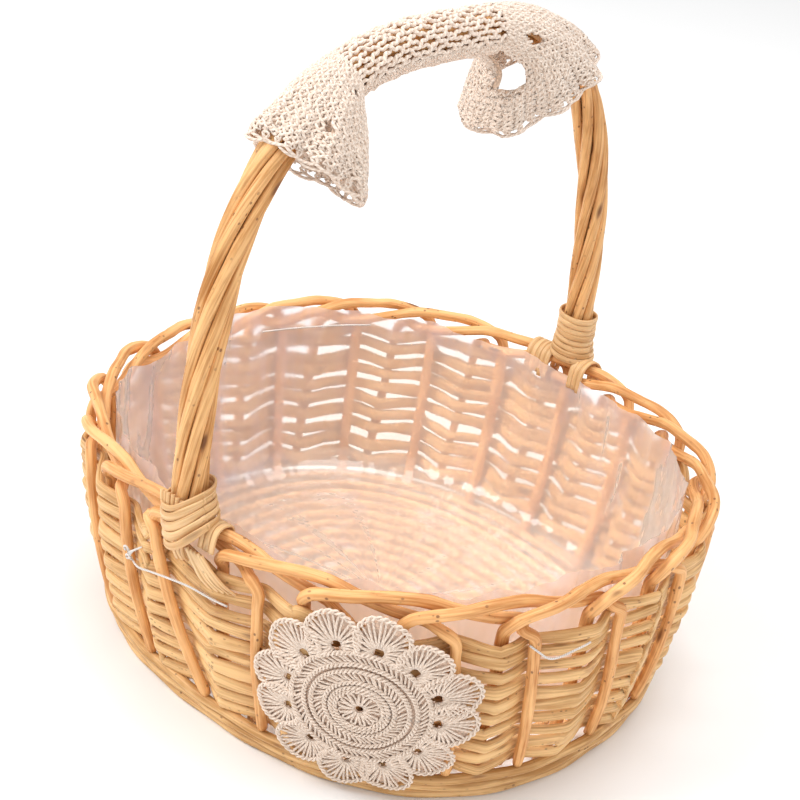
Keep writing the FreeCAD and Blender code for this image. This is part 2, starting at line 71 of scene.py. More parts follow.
class Slot(Enum):
    """Names of the record's material slots for the grown pieces; nothing reads them."""

    BORDER = "border_willow"
    WEAVER = "weaver_willow"
    HANDLE = "handle_willow"
    CANE = "split_cane"
    COTTON = "crochet_cotton"
    FLOWER = "flower_cotton"
    THREAD = "white_thread"
    FILM = "liner_film"


def wander(seed: float, along: float) -> float:
    """Smooth, repeatable unevenness between about -1 and 1.

    Args:
        seed: Picks one of many different runs.
        along: Where on the run.

    Returns:
        The unevenness there.
    """
    return 2.0 * noise.noise(Vector((along, seed * 7.31 + 0.37, seed * 1.73)))


def ripple(seed: float, angle: float, along: float, turns: float) -> float:
    """Smooth unevenness round a closed ring.

    Args:
        seed: Picks one of many different runs.
        angle: Where on the ring, in radians.
        along: Which of the rings that lie side by side.
        turns: How many swings the ring has, roughly.

    Returns:
        The unevenness there, between about -1 and 1.
    """
    spot = Vector((math.cos(angle) * turns + seed * 3.7, math.sin(angle) * turns, along + seed))
    return 2.0 * noise.noise(spot)


def blend(low: float, high: float, share: float) -> float:
    """The value a share of the way from low to high."""
    return low + (high - low) * share


def signed_power(value: float, exponent: float) -> float:
    """A power that keeps the sign of its base."""
    return math.copysign(abs(value) ** exponent, value)


# ---------------------------------------------------------------- the basket's lines
@dataclass(frozen=True)
class BasketForm:
    """The wall and the handle's arch that every sub-assembly is laid on.

    Places are counted in stake spacings from +X, heights and offsets are in
    millimetres, and the points that come out are in metres.
    """

    length: float = 300.0
    width: float = 275.0
    base_length: float = 269.0
    base_width: float = 237.0
    border_height: float = 111.0
    squareness: float = 2.37
    belly: float = 2.3
    wall_reach: float = 6.6
    stakes: int = 21
    first_stake: float = 0.215
    handle_top: float = 300.0
    handle_root: float = 103.0
    handle_foot: float = 113.5
    handle_squareness: float = 2.86
    handle_seat: float = 2.5
    rim_steps: int = 2880
    arch_steps: int = 1440
    heading_step: float = 0.004
    table: dict[str, list] = field(default_factory=dict)

    def half_axes(self, height: float) -> tuple[float, float]:
        """Half length and half width of the wall's middle surface at a height."""
        share = min(max(height / self.border_height, 0.0), 1.0)
        grow = 1 - (1 - share) ** self.belly
        halves = []
        for top, foot in ((self.length, self.base_length), (self.width, self.base_width)):
            halves.append(blend(foot / 2 - self.wall_reach, top / 2 - self.wall_reach, grow))
        return halves[0], halves[1]

    def oval(self, halves: tuple[float, float], angle: float) -> tuple[float, float]:
        """A point of the oval plan with these half axes."""
        power = 2 / self.squareness
        return (halves[0] * signed_power(math.cos(angle), power),
                halves[1] * signed_power(math.sin(angle), power))

    def rim_table(self) -> tuple[list[float], list[float]]:
        """Angles round the border, and the length walked to reach each."""
        if "rim" not in self.table:
            halves = self.half_axes(self.border_height)
            angles = [2 * math.pi * step / self.rim_steps for step in range(self.rim_steps + 1)]
            points = [self.oval(halves, angle) for angle in angles]
            walked = [0.0]
            for before, after in pairwise(points):
                walked.append(walked[-1] + math.dist(before, after))
            self.table["angles"] = angles
            self.table["rim"] = walked
        return self.table["angles"], self.table["rim"]

    def spacing(self) -> float:
        """Border length from stake to stake, in millimetres."""
        return self.rim_table()[1][-1] / self.stakes

    def angle(self, place: float) -> float:
        """Oval angle at a place."""
        angles, walked = self.rim_table()
        turns, rest = divmod(place, self.stakes)
        target = rest * self.spacing()
        low = min(bisect_right(walked, target) - 1, len(walked) - 2)
        share = (target - walked[low]) / (walked[low + 1] - walked[low])
        return turns * 2 * math.pi + blend(angles[low], angles[low + 1], share)

    def normal(self, place: float, height: float) -> Vector:
        """Level unit vector that points out of the wall."""
        halves = self.half_axes(height)
        x, y = self.oval(halves, self.angle(place))
        power = self.squareness - 1
        out = Vector((signed_power(x / halves[0], power) / halves[0],
                      signed_power(y / halves[1], power) / halves[1], 0.0))
        return out.normalized()

    def wall(self, place: float, height: float, offset: float = 0.0) -> Vector:
        """A point of the wall, offset outwards from its middle."""
        x, y = self.oval(self.half_axes(height), self.angle(place))
        return (Vector((x, y, height)) + self.normal(place, height) * offset) * MM

    def half_span(self) -> float:
        """From the middle of the basket to the middle of a handle foot."""
        return self.half_axes(self.border_height)[1] + self.handle_seat

    def arch_table(self) -> tuple[list[tuple[float, float]], list[float]]:
        """Points (y, z) along the handle, and the length walked to reach each."""
        if "arch" not in self.table:
            power = 2 / self.handle_squareness
            points = []
            rise = self.handle_top - self.handle_root
            for step in range(self.arch_steps + 1):
                angle = math.pi * step / self.arch_steps
                y = -self.half_span() * signed_power(math.cos(angle), power)
                z = self.handle_root + rise * abs(math.sin(angle)) ** power
                if z >= self.handle_foot:
                    points.append((y, z))
            walked = [0.0]
            for before, after in pairwise(points):
                walked.append(walked[-1] + math.dist(before, after))
            self.table["arch_points"] = points
            self.table["arch"] = walked
        return self.table["arch_points"], self.table["arch"]

    def arch_length(self) -> float:
        """Length of the handle's middle line in millimetres."""
        return self.arch_table()[1][-1]

    def arch(self, share: float) -> Vector:
        """Point on the handle's middle line, at a share of its length from the -Y foot."""
        points, walked = self.arch_table()
        target = share * walked[-1]
        low = min(max(bisect_right(walked, target) - 1, 0), len(walked) - 2)
        part = (target - walked[low]) / (walked[low + 1] - walked[low])
        return Vector((0.0, blend(points[low][0], points[low + 1][0], part),
                       blend(points[low][1], points[low + 1][1], part))) * MM

    def arch_heading(self, share: float) -> Vector:
        """Unit vector along the handle, from the -Y foot to the +Y foot."""
        ahead = self.arch(min(share + self.heading_step, 1.0))
        return (ahead - self.arch(max(share - self.heading_step, 0.0))).normalized()

    def arch_outward(self, share: float) -> Vector:
        """Unit vector across the handle, away from the inside of its arch."""
        return LONG.cross(self.arch_heading(share))


FORM = BasketForm()


# ---------------------------------------------------------------- growing rods and yarns
@dataclass
class Ring:
    """One cross-section of a rod: its middle, half sizes in metres and major axis."""

    centre: Vector
    major: float
    minor: float
    towards: Vector

    def pose(self, heading: Vector) -> Matrix:
        """The matrix that lays a unit circle on this cross-section."""
        across = heading.cross(self.towards)
        if across.length < 1e-6:
            across = heading.cross(LONG + UP * 0.3)
        across.normalize()
        first = across.cross(heading).normalized()
        columns = (first * self.major, across * self.minor, heading * self.major, self.centre)
        return Matrix([[column[row] for column in columns] for row in range(3)] + [[0, 0, 0, 1]])


def grow_ring(bm: bmesh.types.BMesh, edges: Sequence[bmesh.types.BMEdge]
              ) -> tuple[list[bmesh.types.BMVert], list[bmesh.types.BMEdge]]:
    """Extrudes a ring of edges once.

    Args:
        bm: The mesh that the ring belongs to.
        edges: The ring.

    Returns:
        The new vertices, and the new ring of edges that they make.
    """
    grown = bmesh.ops.extrude_edge_only(bm, edges=edges)["geom"]
    verts = [piece for piece in grown if isinstance(piece, bmesh.types.BMVert)]
    fresh = set(verts)
    ring = [piece for piece in grown
            if isinstance(piece, bmesh.types.BMEdge) and fresh.issuperset(piece.verts)]
    return verts, ring


def grow_rod(rings: Sequence[Ring], sides: int, tone: float, start: float = 0.0,
             boxy: float = 2.0, closed: bool = False) -> bmesh.types.BMesh:
    """A rod grown from a circle, one extruded ring after another.

    Args:
        rings: The cross-sections in order.
        sides: Corners of each cross-section.
        tone: How deep this rod's colour is, from 0 to 1.
        start: Length at which its grain pattern starts.
        boxy: Exponent of the section's outline; 2 is round, more is squarer.
        closed: Whether its last ring runs back into its first.

    Returns:
        The rod's own bmesh.
    """
    bm = bmesh.new()
    grain = bm.verts.layers.float_vector.new(GRAIN)
    depth = bm.verts.layers.float.new(TONE)
    bmesh.ops.create_circle(bm, cap_ends=not closed, segments=sides, radius=1.0)
    for vert in bm.verts:
        angle = math.atan2(vert.co.y, vert.co.x)
        vert.co = Vector((signed_power(math.cos(angle), 2 / boxy),
                          signed_power(math.sin(angle), 2 / boxy), 0.0))
        vert[grain] = (math.cos(angle) * rings[0].major, math.sin(angle) * rings[0].major, start)
        vert[depth] = tone
    last = len(rings) - 1
    headings = []
    for number in range(len(rings)):
        before = rings[(number - 1) % len(rings) if closed else max(number - 1, 0)]
        after = rings[(number + 1) % len(rings) if closed else min(number + 1, last)]
        headings.append((after.centre - before.centre).normalized())
    pose = rings[0].pose(headings[0])
    bmesh.ops.transform(bm, matrix=pose, verts=bm.verts)
    edge_ring = list(bm.edges)
    first_ring = list(bm.edges)
    along = start
    for number in range(1, len(rings)):
        verts, edge_ring = grow_ring(bm, edge_ring)
        turned = rings[number].pose(headings[number])
        bmesh.ops.transform(bm, matrix=turned @ pose.inverted(), verts=verts)
        pose = turned
        along += (rings[number].centre - rings[number - 1].centre).length
        for vert in verts:
            vert[grain] = (vert[grain].x, vert[grain].y, along)
    if closed:
        bmesh.ops.bridge_loops(bm, edges=edge_ring + first_ring)
    else:
        bmesh.ops.edgeloop_fill(bm, edges=edge_ring)
    for face in bm.faces:
        face.smooth = len(face.verts) == 4
    bmesh.ops.recalc_face_normals(bm, faces=bm.faces)
    return bm


def cloth_circle(segments: int, label: str, whole: float
                 ) -> tuple[bmesh.types.BMesh, bmesh.types.BMLayerItem]:
    """A circle of edges that a cloth or film grows from.

    Args:
        segments: Corners of the circle.
        label: The name of the vertex layer that says how far round a corner is.
        whole: What the layer counts up to, once round.

    Returns:
        The mesh and the layer.
    """
    bm = bmesh.new()
    bmesh.ops.create_circle(bm, cap_ends=False, segments=segments, radius=1.0)
    layer = bm.verts.layers.float.new(label)
    bm.verts.ensure_lookup_table()
    for number, vert in enumerate(bm.verts):
        vert[layer] = whole * number / segments
    return bm, layer


def smooth_cloth(bm: bmesh.types.BMesh) -> bmesh.types.BMesh:
    """Shades a finished cloth smooth and turns its faces the same way."""
    for face in bm.faces:
        face.smooth = True
    bmesh.ops.recalc_face_normals(bm, faces=bm.faces)
    return bm


def swollen(thick: float, share: float, knots: Iterable[float], swell: float,
            sharpness: float) -> float:
    """A rod's thickness with its knots added.

    Args:
        thick: The thickness without them.
        share: Where on the rod, as a share of its length.
        knots: The share at which each knot sits.
        swell: How much thicker a knot is than the rod.
        sharpness: How short a knot is.

    Returns:
        The thickness there.
    """
    for knot in knots:
        thick *= 1 + swell * math.exp(-((share - knot) * sharpness) ** 2)
    return thick


@dataclass
class Bundle:
    """The mesh of one piece: grown rods, or one cloth."""

    name: str
    mesh: bmesh.types.BMesh = field(default_factory=bmesh.new)

    def add(self, rod: bmesh.types.BMesh) -> None:
        """Takes in one grown rod and frees it."""
        scratch = bpy.data.meshes.new("scratch")
        rod.to_mesh(scratch)
        rod.free()
        self.mesh.from_mesh(scratch)
        bpy.data.meshes.remove(scratch)

    def finish(self, finish: bpy.types.Material, slot: Slot,
               nodes: Iterable[str] = ()) -> bpy.types.Object:
        """Turns the bundle into a dressed piece that rides on the basket.

        Args:
            finish: The material that it wears.
            slot: Not used.
            nodes: The CAD nodes that it stands for.

        Returns:
            The new object.
        """
        data = bpy.data.meshes.new(self.name)
        self.mesh.to_mesh(data)
        self.mesh.free()
        piece = bpy.data.objects.new(self.name, data)
        bpy.context.scene.collection.objects.link(piece)
        data.materials.append(finish)
        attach(piece, BODY)
        names = list(nodes)
        if names:
            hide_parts(*names)
        LOG.info("%s: %d faces", self.name, len(data.polygons))
        return piece


def through(stops: Sequence[Sequence[float]], spacing: Sequence[float],
            steps: int) -> list[list[float]]:
    """Points on a smooth curve through every stop.

    Args:
        stops: Tuples of numbers, all of one length.
        spacing: The rough distance from each stop to the next.
        steps: New points for each stop.

    Returns:
        The stops with the new points between them.
    """
    knots = [0.0]
    for length in spacing:
        knots.append(knots[-1] + max(length, 1e-6))
    slopes = []
    for number in range(len(stops)):
        low, high = max(number - 1, 0), min(number + 1, len(stops) - 1)
        run = knots[high] - knots[low]
        slopes.append([(b - a) / run for a, b in zip(stops[low], stops[high])])
    points = []
    for number, (first, second) in enumerate(pairwise(stops)):
        run = knots[number + 1] - knots[number]
        for step in range(steps):
            t = step / steps
            curve = (2 * t**3 - 3 * t**2 + 1, (t**3 - 2 * t**2 + t) * run,
                     3 * t**2 - 2 * t**3, (t**3 - t**2) * run)
            ends = zip(first, slopes[number], second, slopes[number + 1])
            points.append([curve[0] * a + curve[1] * m + curve[2] * b + curve[3] * n
                           for a, m, b, n in ends])
    points.append(list(stops[-1]))
    return points


def smooth_line(stops: Sequence[Vector], steps: int) -> list[Vector]:
    """Points on a smooth curve through every stop, in space."""
    lengths = [(after - before).length for before, after in pairwise(stops)]
    return [Vector(point) for point in through([tuple(stop) for stop in stops], lengths, steps)]


# ---------------------------------------------------------------- finishes
COLOUR, VALUE, VECTOR = "NodeSocketColor", "NodeSocketFloat", "NodeSocketVector"


class Nodes:
    """Short ways to place and join the nodes of one tree."""

    def __init__(self, tree: bpy.types.NodeTree) -> None:
        """Starts on an emptied tree."""
        self.tree = tree
        tree.nodes.clear()

    def add(self, kind: str, **settings: object) -> bpy.types.Node:
        """A new node with these properties set."""
        node = self.tree.nodes.new(kind)
        for name, value in settings.items():
            setattr(node, name, value)
        return node

    def join(self, source: bpy.types.NodeSocket, target: bpy.types.NodeSocket) -> None:
        """Links an output to an input."""
        self.tree.links.new(source, target)

    def feed(self, socket: bpy.types.NodeSocket, value: object) -> None:
        """Links a socket to an output, or sets it to a plain value."""
        if isinstance(value, bpy.types.NodeSocket):
            self.join(value, socket)
        else:
            socket.default_value = value

    def maths(self, operation: str, *values: object) -> bpy.types.NodeSocket:
        """The result of a Math node on these values."""
        node = self.add("ShaderNodeMath", operation=operation)
        for socket, value in zip(node.inputs, values):
            self.feed(socket, value)
        return node.outputs[0]

    def stretch(self, vector: bpy.types.NodeSocket, scale: Sequence[float]) -> bpy.types.NodeSocket:
        """A vector multiplied axis by axis."""
        node = self.add("ShaderNodeVectorMath", operation="MULTIPLY")
        self.join(vector, node.inputs[0])
        node.inputs[1].default_value = scale
        return node.outputs[0]

    def noise(self, vector: bpy.types.NodeSocket, scale: float, detail: float = 3.0,
              roughness: float = 0.55) -> bpy.types.NodeSocket:
        """A noise value over a vector."""
        node = self.add("ShaderNodeTexNoise")
        self.join(vector, node.inputs["Vector"])
        node.inputs["Scale"].default_value = scale
        node.inputs["Detail"].default_value = detail
        node.inputs["Roughness"].default_value = roughness
        return node.outputs["Fac"]

    def spread(self, value: object, low: float, high: float, to_low: float = 0.0,
               to_high: float = 1.0) -> bpy.types.NodeSocket:
        """A value moved from one range to another and held inside it."""
        node = self.add("ShaderNodeMapRange", interpolation_type="SMOOTHSTEP")
        self.feed(node.inputs["Value"], value)
        limits = {"From Min": low, "From Max": high, "To Min": to_low, "To Max": to_high}
        for name, number in limits.items():
            node.inputs[name].default_value = number
        return node.outputs["Result"]

    def mix(self, share: object, first: object, second: object) -> bpy.types.NodeSocket:
        """Two colours mixed by a share."""
        node = self.add("ShaderNodeMix", data_type="RGBA")
        self.feed(node.inputs["Factor"], share)
        self.feed(node.inputs["A"], first)
        self.feed(node.inputs["B"], second)
        return next(socket for socket in node.outputs if socket.type == "RGBA")


def new_group(name: str, inputs: Sequence[tuple[str, str, object]],
              outputs: Sequence[tuple[str, str]]
              ) -> tuple[bpy.types.NodeTree, Nodes, bpy.types.Node, bpy.types.Node]:
    """An empty shader group with named sockets.

    Args:
        name: What the group is called.
        inputs: Name, socket kind and default value of each input.
        outputs: Name and socket kind of each output.

    Returns:
        The tree, its node helper, its input node and its output node.
    """
    tree = bpy.data.node_groups.new(name, "ShaderNodeTree")
    for label, kind, value in inputs:
        socket = tree.interface.new_socket(name=label, in_out="INPUT", socket_type=kind)
        if value is not None:
            socket.default_value = value
    for label, kind in outputs:
        tree.interface.new_socket(name=label, in_out="OUTPUT", socket_type=kind)
    nodes = Nodes(tree)
    return tree, nodes, nodes.add("NodeGroupInput"), nodes.add("NodeGroupOutput")


def willow_skin() -> bpy.types.NodeTree:
    """The group that draws peeled willow: streaks, mottling, specks and knots."""
    found = bpy.data.node_groups.get("willow_skin")
    if found:
        return found
    tree, n, start, end = new_group(
        "willow_skin",
        [("Grain", VECTOR, None), ("Tone", VALUE, 0.5), ("Pale", COLOUR, (0.8, 0.6, 0.3, 1)),
         ("Deep", COLOUR, (0.5, 0.25, 0.08, 1)), ("Mark", COLOUR, (0.12, 0.04, 0.01, 1)),
         ("Bark", COLOUR, (0.30, 0.11, 0.05, 1)), ("Knots", VALUE, 1.0)],
        [("Color", COLOUR), ("Roughness", VALUE), ("Height", VALUE)])
    grain = start.outputs["Grain"]
    streaks = n.noise(n.stretch(grain, (900.0, 900.0, 32.0)), 1.0, 5.0, 0.6)
    fibres = n.noise(n.stretch(grain, (2600.0, 2600.0, 90.0)), 1.0, 2.0, 0.5)
    mottle = n.noise(n.stretch(grain, (90.0, 90.0, 26.0)), 1.0, 3.0, 0.6)
    depth = n.maths("ADD", n.maths("MULTIPLY", n.spread(streaks, 0.34, 0.66), 0.55),
                    n.maths("MULTIPLY", n.spread(mottle, 0.34, 0.68), 0.50))
    depth = n.maths("ADD", depth, n.maths("MULTIPLY", start.outputs["Tone"], 0.42))
    depth = n.maths("SUBTRACT", depth, 0.22)
    depth = n.spread(depth, 0.0, 1.15)
    base = n.mix(depth, start.outputs["Pale"], start.outputs["Deep"])
    bark = n.spread(n.noise(n.stretch(grain, (75.0, 75.0, 24.0)), 1.0, 4.0, 0.65), 0.63, 0.70)
    bark = n.maths("MULTIPLY", n.maths("MULTIPLY", bark, start.outputs["Knots"]), 0.62)
    base = n.mix(bark, base, start.outputs["Bark"])
    speck = n.add("ShaderNodeTexVoronoi", feature="F1")
    n.join(n.stretch(grain, (330.0, 330.0, 240.0)), speck.inputs["Vector"])
    speck.inputs["Scale"].default_value = 1.0
    dots = n.spread(speck.outputs["Distance"], 0.12, 0.24, 1.0, 0.0)
    where = n.spread(n.noise(n.stretch(grain, (60.0, 60.0, 45.0)), 1.0, 2.0), 0.50, 0.58)
    knot = n.add("ShaderNodeTexVoronoi", feature="F1")
    n.join(n.stretch(grain, (150.0, 150.0, 38.0)), knot.inputs["Vector"])
    knot.inputs["Scale"].default_value = 1.0
    scar = n.spread(knot.outputs["Distance"], 0.08, 0.26, 1.0, 0.0)
    few = n.spread(n.noise(n.stretch(grain, (40.0, 40.0, 21.0)), 1.0, 1.0), 0.52, 0.57)
    scar = n.maths("MULTIPLY", n.maths("MULTIPLY", scar, few), start.outputs["Knots"])
    dots = n.maths("MULTIPLY", n.maths("MULTIPLY", dots, where), start.outputs["Knots"])
    marks = n.maths("MAXIMUM", n.maths("MULTIPLY", dots, 0.75), n.maths("MULTIPLY", scar, 0.85))
    n.join(n.mix(marks, base, start.outputs["Mark"]), end.inputs["Color"])
    n.join(n.spread(streaks, 0.2, 0.8, 0.38, 0.62), end.inputs["Roughness"])
    height = n.maths("ADD", n.maths("MULTIPLY", fibres, 0.35), n.maths("MULTIPLY", streaks, 0.65))
    n.join(n.maths("SUBTRACT", height, n.maths("MULTIPLY", scar, 0.6)), end.inputs["Height"])
    return tree


def yarn_twist() -> bpy.types.NodeTree:
    """The group that draws plied cotton yarn along a grown rod."""
    found = bpy.data.node_groups.get("yarn_twist")
    if found:
        return found
    tree, n, start, end = new_group(
        "yarn_twist",
        [("Grain", VECTOR, None), ("Pale", COLOUR, (0.8, 0.7, 0.6, 1)),
         ("Deep", COLOUR, (0.4, 0.3, 0.2, 1)), ("Plies", VALUE, 2.0), ("Lay", VALUE, 2600.0)],
        [("Color", COLOUR), ("Height", VALUE)])
    parts = n.add("ShaderNodeSeparateXYZ")
    n.join(start.outputs["Grain"], parts.inputs[0])
    turn = n.maths("ARCTAN2", parts.outputs["Y"], parts.outputs["X"])
    turn = n.maths("MULTIPLY", turn, start.outputs["Plies"])
    along = n.maths("MULTIPLY", parts.outputs["Z"], start.outputs["Lay"])
    ply = n.maths("SINE", n.maths("ADD", turn, along))
    ply = n.spread(ply, -0.95, 0.5)
    fuzz = n.noise(n.stretch(start.outputs["Grain"], (2200.0, 2200.0, 1500.0)), 1.0, 3.0, 0.7)
    drift = n.noise(n.stretch(start.outputs["Grain"], (150.0, 150.0, 110.0)), 1.0, 2.0, 0.5)
    # Colour is Deep in the grooves between plies and Pale on their crowns: painted shade in the
    # grooves, mixed with random drift in tone.
    shade = n.maths("ADD", n.maths("MULTIPLY", ply, 0.62),
                    n.maths("MULTIPLY", n.spread(drift, 0.3, 0.7), 0.38))
    n.join(n.mix(shade, start.outputs["Deep"], start.outputs["Pale"]), end.inputs["Color"])
    n.join(n.maths("ADD", ply, n.maths("MULTIPLY", fuzz, 0.35)), end.inputs["Height"])
    return tree


def attribute(n: Nodes, name: str, output: str) -> bpy.types.NodeSocket:
    """An output of the node that reads a piece's own attribute."""
    return n.add("ShaderNodeAttribute", attribute_name=name).outputs[output]


def start_material(name: str) -> tuple[bpy.types.Material, Nodes, bpy.types.Node]:
    """A new material with a Principled shader on its output."""
    material = bpy.data.materials.new(name)
    material.use_nodes = True
    n = Nodes(material.node_tree)
    shader = n.add("ShaderNodeBsdfPrincipled")
    output = n.add("ShaderNodeOutputMaterial")
    n.join(shader.outputs[0], output.inputs["Surface"])
    return material, n, shader


def raise_bump(n: Nodes, shader: bpy.types.Node, height: bpy.types.NodeSocket, strength: float,
               distance: float) -> None:
    """Feeds a height through a Bump node to the shader's normal."""
    bump = n.add("ShaderNodeBump")
    bump.inputs["Strength"].default_value = strength
    bump.inputs["Distance"].default_value = distance
    n.join(height, bump.inputs["Height"])
    n.join(bump.outputs[0], shader.inputs["Normal"])


@dataclass(frozen=True)
class WillowFinish:
    """Peeled willow, whole or split."""

    name: str
    pale: Colour
    deep: Colour
    mark: Colour = (0.13, 0.035, 0.010, 1.0)
    bark: Colour = (0.33, 0.115, 0.045, 1.0)
    knots: float = 1.0
    relief: float = 0.0006
    own_grain: bool = True

    def material(self) -> bpy.types.Material:
        """Builds the material."""
        material, n, shader = start_material(self.name)
        skin = n.add("ShaderNodeGroup", node_tree=willow_skin())
        if self.own_grain:
            n.join(attribute(n, GRAIN, "Vector"), skin.inputs["Grain"])
            n.join(attribute(n, TONE, "Fac"), skin.inputs["Tone"])
        else:
            n.join(n.add("ShaderNodeTexCoord").outputs["Object"], skin.inputs["Grain"])
        for name, value in (("Pale", self.pale), ("Deep", self.deep), ("Mark", self.mark),
                            ("Bark", self.bark), ("Knots", self.knots)):
            skin.inputs[name].default_value = value
        n.join(skin.outputs["Color"], shader.inputs["Base Color"])
        n.join(skin.outputs["Roughness"], shader.inputs["Roughness"])
        shader.inputs["Specular IOR Level"].default_value = 0.42
        shader.inputs["Subsurface Weight"].default_value = 0.08
        shader.inputs["Subsurface Radius"].default_value = (0.0016, 0.0008, 0.0003)
        shader.inputs["Subsurface Scale"].default_value = 1.0
        raise_bump(n, shader, skin.outputs["Height"], 0.6, self.relief)
        return material


@dataclass(frozen=True)
class YarnFinish:
    """Plied cotton."""

    name: str
    pale: Colour
    deep: Colour
    lay: float = 2600.0
    relief: float = 0.0003

    def material(self) -> bpy.types.Material:
        """Builds the material."""
        material, n, shader = start_material(self.name)
        twist = n.add("ShaderNodeGroup", node_tree=yarn_twist())
        n.join(attribute(n, GRAIN, "Vector"), twist.inputs["Grain"])
        twist.inputs["Pale"].default_value = self.pale
        twist.inputs["Deep"].default_value = self.deep
        twist.inputs["Lay"].default_value = self.lay
        n.join(twist.outputs["Color"], shader.inputs["Base Color"])
        shader.inputs["Roughness"].default_value = 0.85
        shader.inputs["Specular IOR Level"].default_value = 0.25
        shader.inputs["Sheen Weight"].default_value = 0.35
        shader.inputs["Sheen Roughness"].default_value = 0.5
        raise_bump(n, shader, twist.outputs["Height"], 0.7, self.relief)
        return material


@dataclass(frozen=True)
class CottonShadeCloth:
    """A dark cloth under dense crochet: painted shade for its inside, seen between its yarns."""

    name: str
    colour: Colour

    def material(self) -> bpy.types.Material:
        """Builds the material."""
        material, n, shader = start_material(self.name)
        place = n.add("ShaderNodeTexCoord").outputs["Object"]
        loops = n.noise(place, 900.0, 2.0, 0.6)
        # Paler loops over the sheet's dark colour, which is painted shade.
        pale = tuple(min(1.0, part * 1.55) for part in self.colour[:3]) + (1.0,)
        n.join(n.mix(n.spread(loops, 0.35, 0.7), self.colour, pale), shader.inputs["Base Color"])
        shader.inputs["Roughness"].default_value = 0.9
        shader.inputs["Specular IOR Level"].default_value = 0.2
        raise_bump(n, shader, loops, 0.8, 0.0006)
        return material


@dataclass(frozen=True)
class FilmFinish:
    """Thin hazy plastic film, whiter at the ends, along the top and in its folds: partly haze where
    it gathers, partly painted highlight.
    """

    name: str = "film"
    clear: Colour = (1.0, 0.86, 0.74, 1.0)
    haze_and_highlight_tint: Colour = (1.0, 0.93, 0.97, 1.0)
    ends_from: float = 0.100
    ends_full: float = 0.128
    brim_from: float = 0.084
    brim_full: float = 0.100
    brim_haze_and_highlight: float = 0.80
    stray_haze_and_highlight: float = 0.34
    shadow: float = 0.12

    def material(self) -> bpy.types.Material:
        """Builds the material."""
        material, n, shader = start_material(self.name)
        place = n.add("ShaderNodeTexCoord").outputs["Object"]
        parts = n.add("ShaderNodeSeparateXYZ")
        n.join(place, parts.inputs[0])
        wide = n.noise(place, 26.0, 3.0, 0.55)
        fine = n.noise(n.stretch(place, (1.0, 1.0, 0.5)), 95.0, 2.0, 0.5)
        folds = n.spread(n.noise(n.stretch(place, (1.0, 1.0, 0.16)), 60.0, 2.0, 0.6), 0.42, 0.60)
        ends = n.spread(n.maths("ABSOLUTE", parts.outputs["X"]), self.ends_from, self.ends_full)
        brim = n.spread(parts.outputs["Z"], self.brim_from, self.brim_full)
        # Whiter mask over the ends, the top band and the folds, with stray patches: partly haze,
        # partly painted highlight.
        haze_and_highlight = n.maths("MAXIMUM", ends, n.maths("MULTIPLY", brim, self.brim_haze_and_highlight))
        haze_and_highlight = n.maths("MULTIPLY", haze_and_highlight, n.maths("ADD", 0.45, n.maths("MULTIPLY", folds, 0.55)))
        stray = n.noise(n.stretch(place, (1.0, 1.0, 0.5)), 34.0, 3.0, 0.6)
        stray = n.maths("MULTIPLY", n.spread(stray, 0.56, 0.66), self.stray_haze_and_highlight)
        haze_and_highlight = n.maths("MAXIMUM", haze_and_highlight, stray)
        # Base colour turns whiter and rougher under that mask: painted highlight mixed with haze.
        n.join(n.mix(haze_and_highlight, self.clear, self.haze_and_highlight_tint), shader.inputs["Base Color"])
        n.join(n.spread(haze_and_highlight, 0.0, 1.0, 0.30, 0.62), shader.inputs["Roughness"])
        shade = n.add("ShaderNodeLightPath").outputs["Is Shadow Ray"]
        n.join(n.spread(shade, 0.0, 1.0, 1.0, self.shadow), shader.inputs["Alpha"])
        shader.inputs["Transmission Weight"].default_value = 0.60
        shader.inputs["IOR"].default_value = 1.12
        shader.inputs["Coat Weight"].default_value = 1.0
        shader.inputs["Coat Roughness"].default_value = 0.10
        crumple = n.maths("ADD", wide, n.maths("MULTIPLY", fine, 0.3))
        raise_bump(n, shader, crumple, 0.6, 0.003)
        return material


BORDER_FINISH = WillowFinish("border_rods", (0.92, 0.52, 0.215, 1.0), (0.52, 0.195, 0.045, 1.0))
WEAVER_FINISH = WillowFinish("split_weavers", (0.85, 0.54, 0.245, 1.0),
                             (0.46, 0.225, 0.066, 1.0), knots=0.8)
BASE_FINISH = WillowFinish("base_willow", (0.84, 0.52, 0.25, 1.0),
                           (0.52, 0.25, 0.09, 1.0), own_grain=False)
HANDLE_FINISH = WillowFinish("handle_rods", (0.90, 0.53, 0.225, 1.0), (0.46, 0.19, 0.045, 1.0))
CANE_FINISH = WillowFinish("split_cane", (0.84, 0.56, 0.29, 1.0),
                           (0.58, 0.32, 0.13, 1.0), knots=0.5)
COTTON_FINISH = YarnFinish("crochet_cotton", (0.93, 0.80, 0.69, 1.0), (0.74, 0.57, 0.45, 1.0))
FLOWER_FINISH = YarnFinish("flower_cotton", (0.92, 0.77, 0.65, 1.0), (0.74, 0.58, 0.46, 1.0))
THREAD_FINISH = YarnFinish("white_thread", (0.85, 0.80, 0.76, 1.0),
                           (0.6, 0.55, 0.5, 1.0), lay=5200.0)


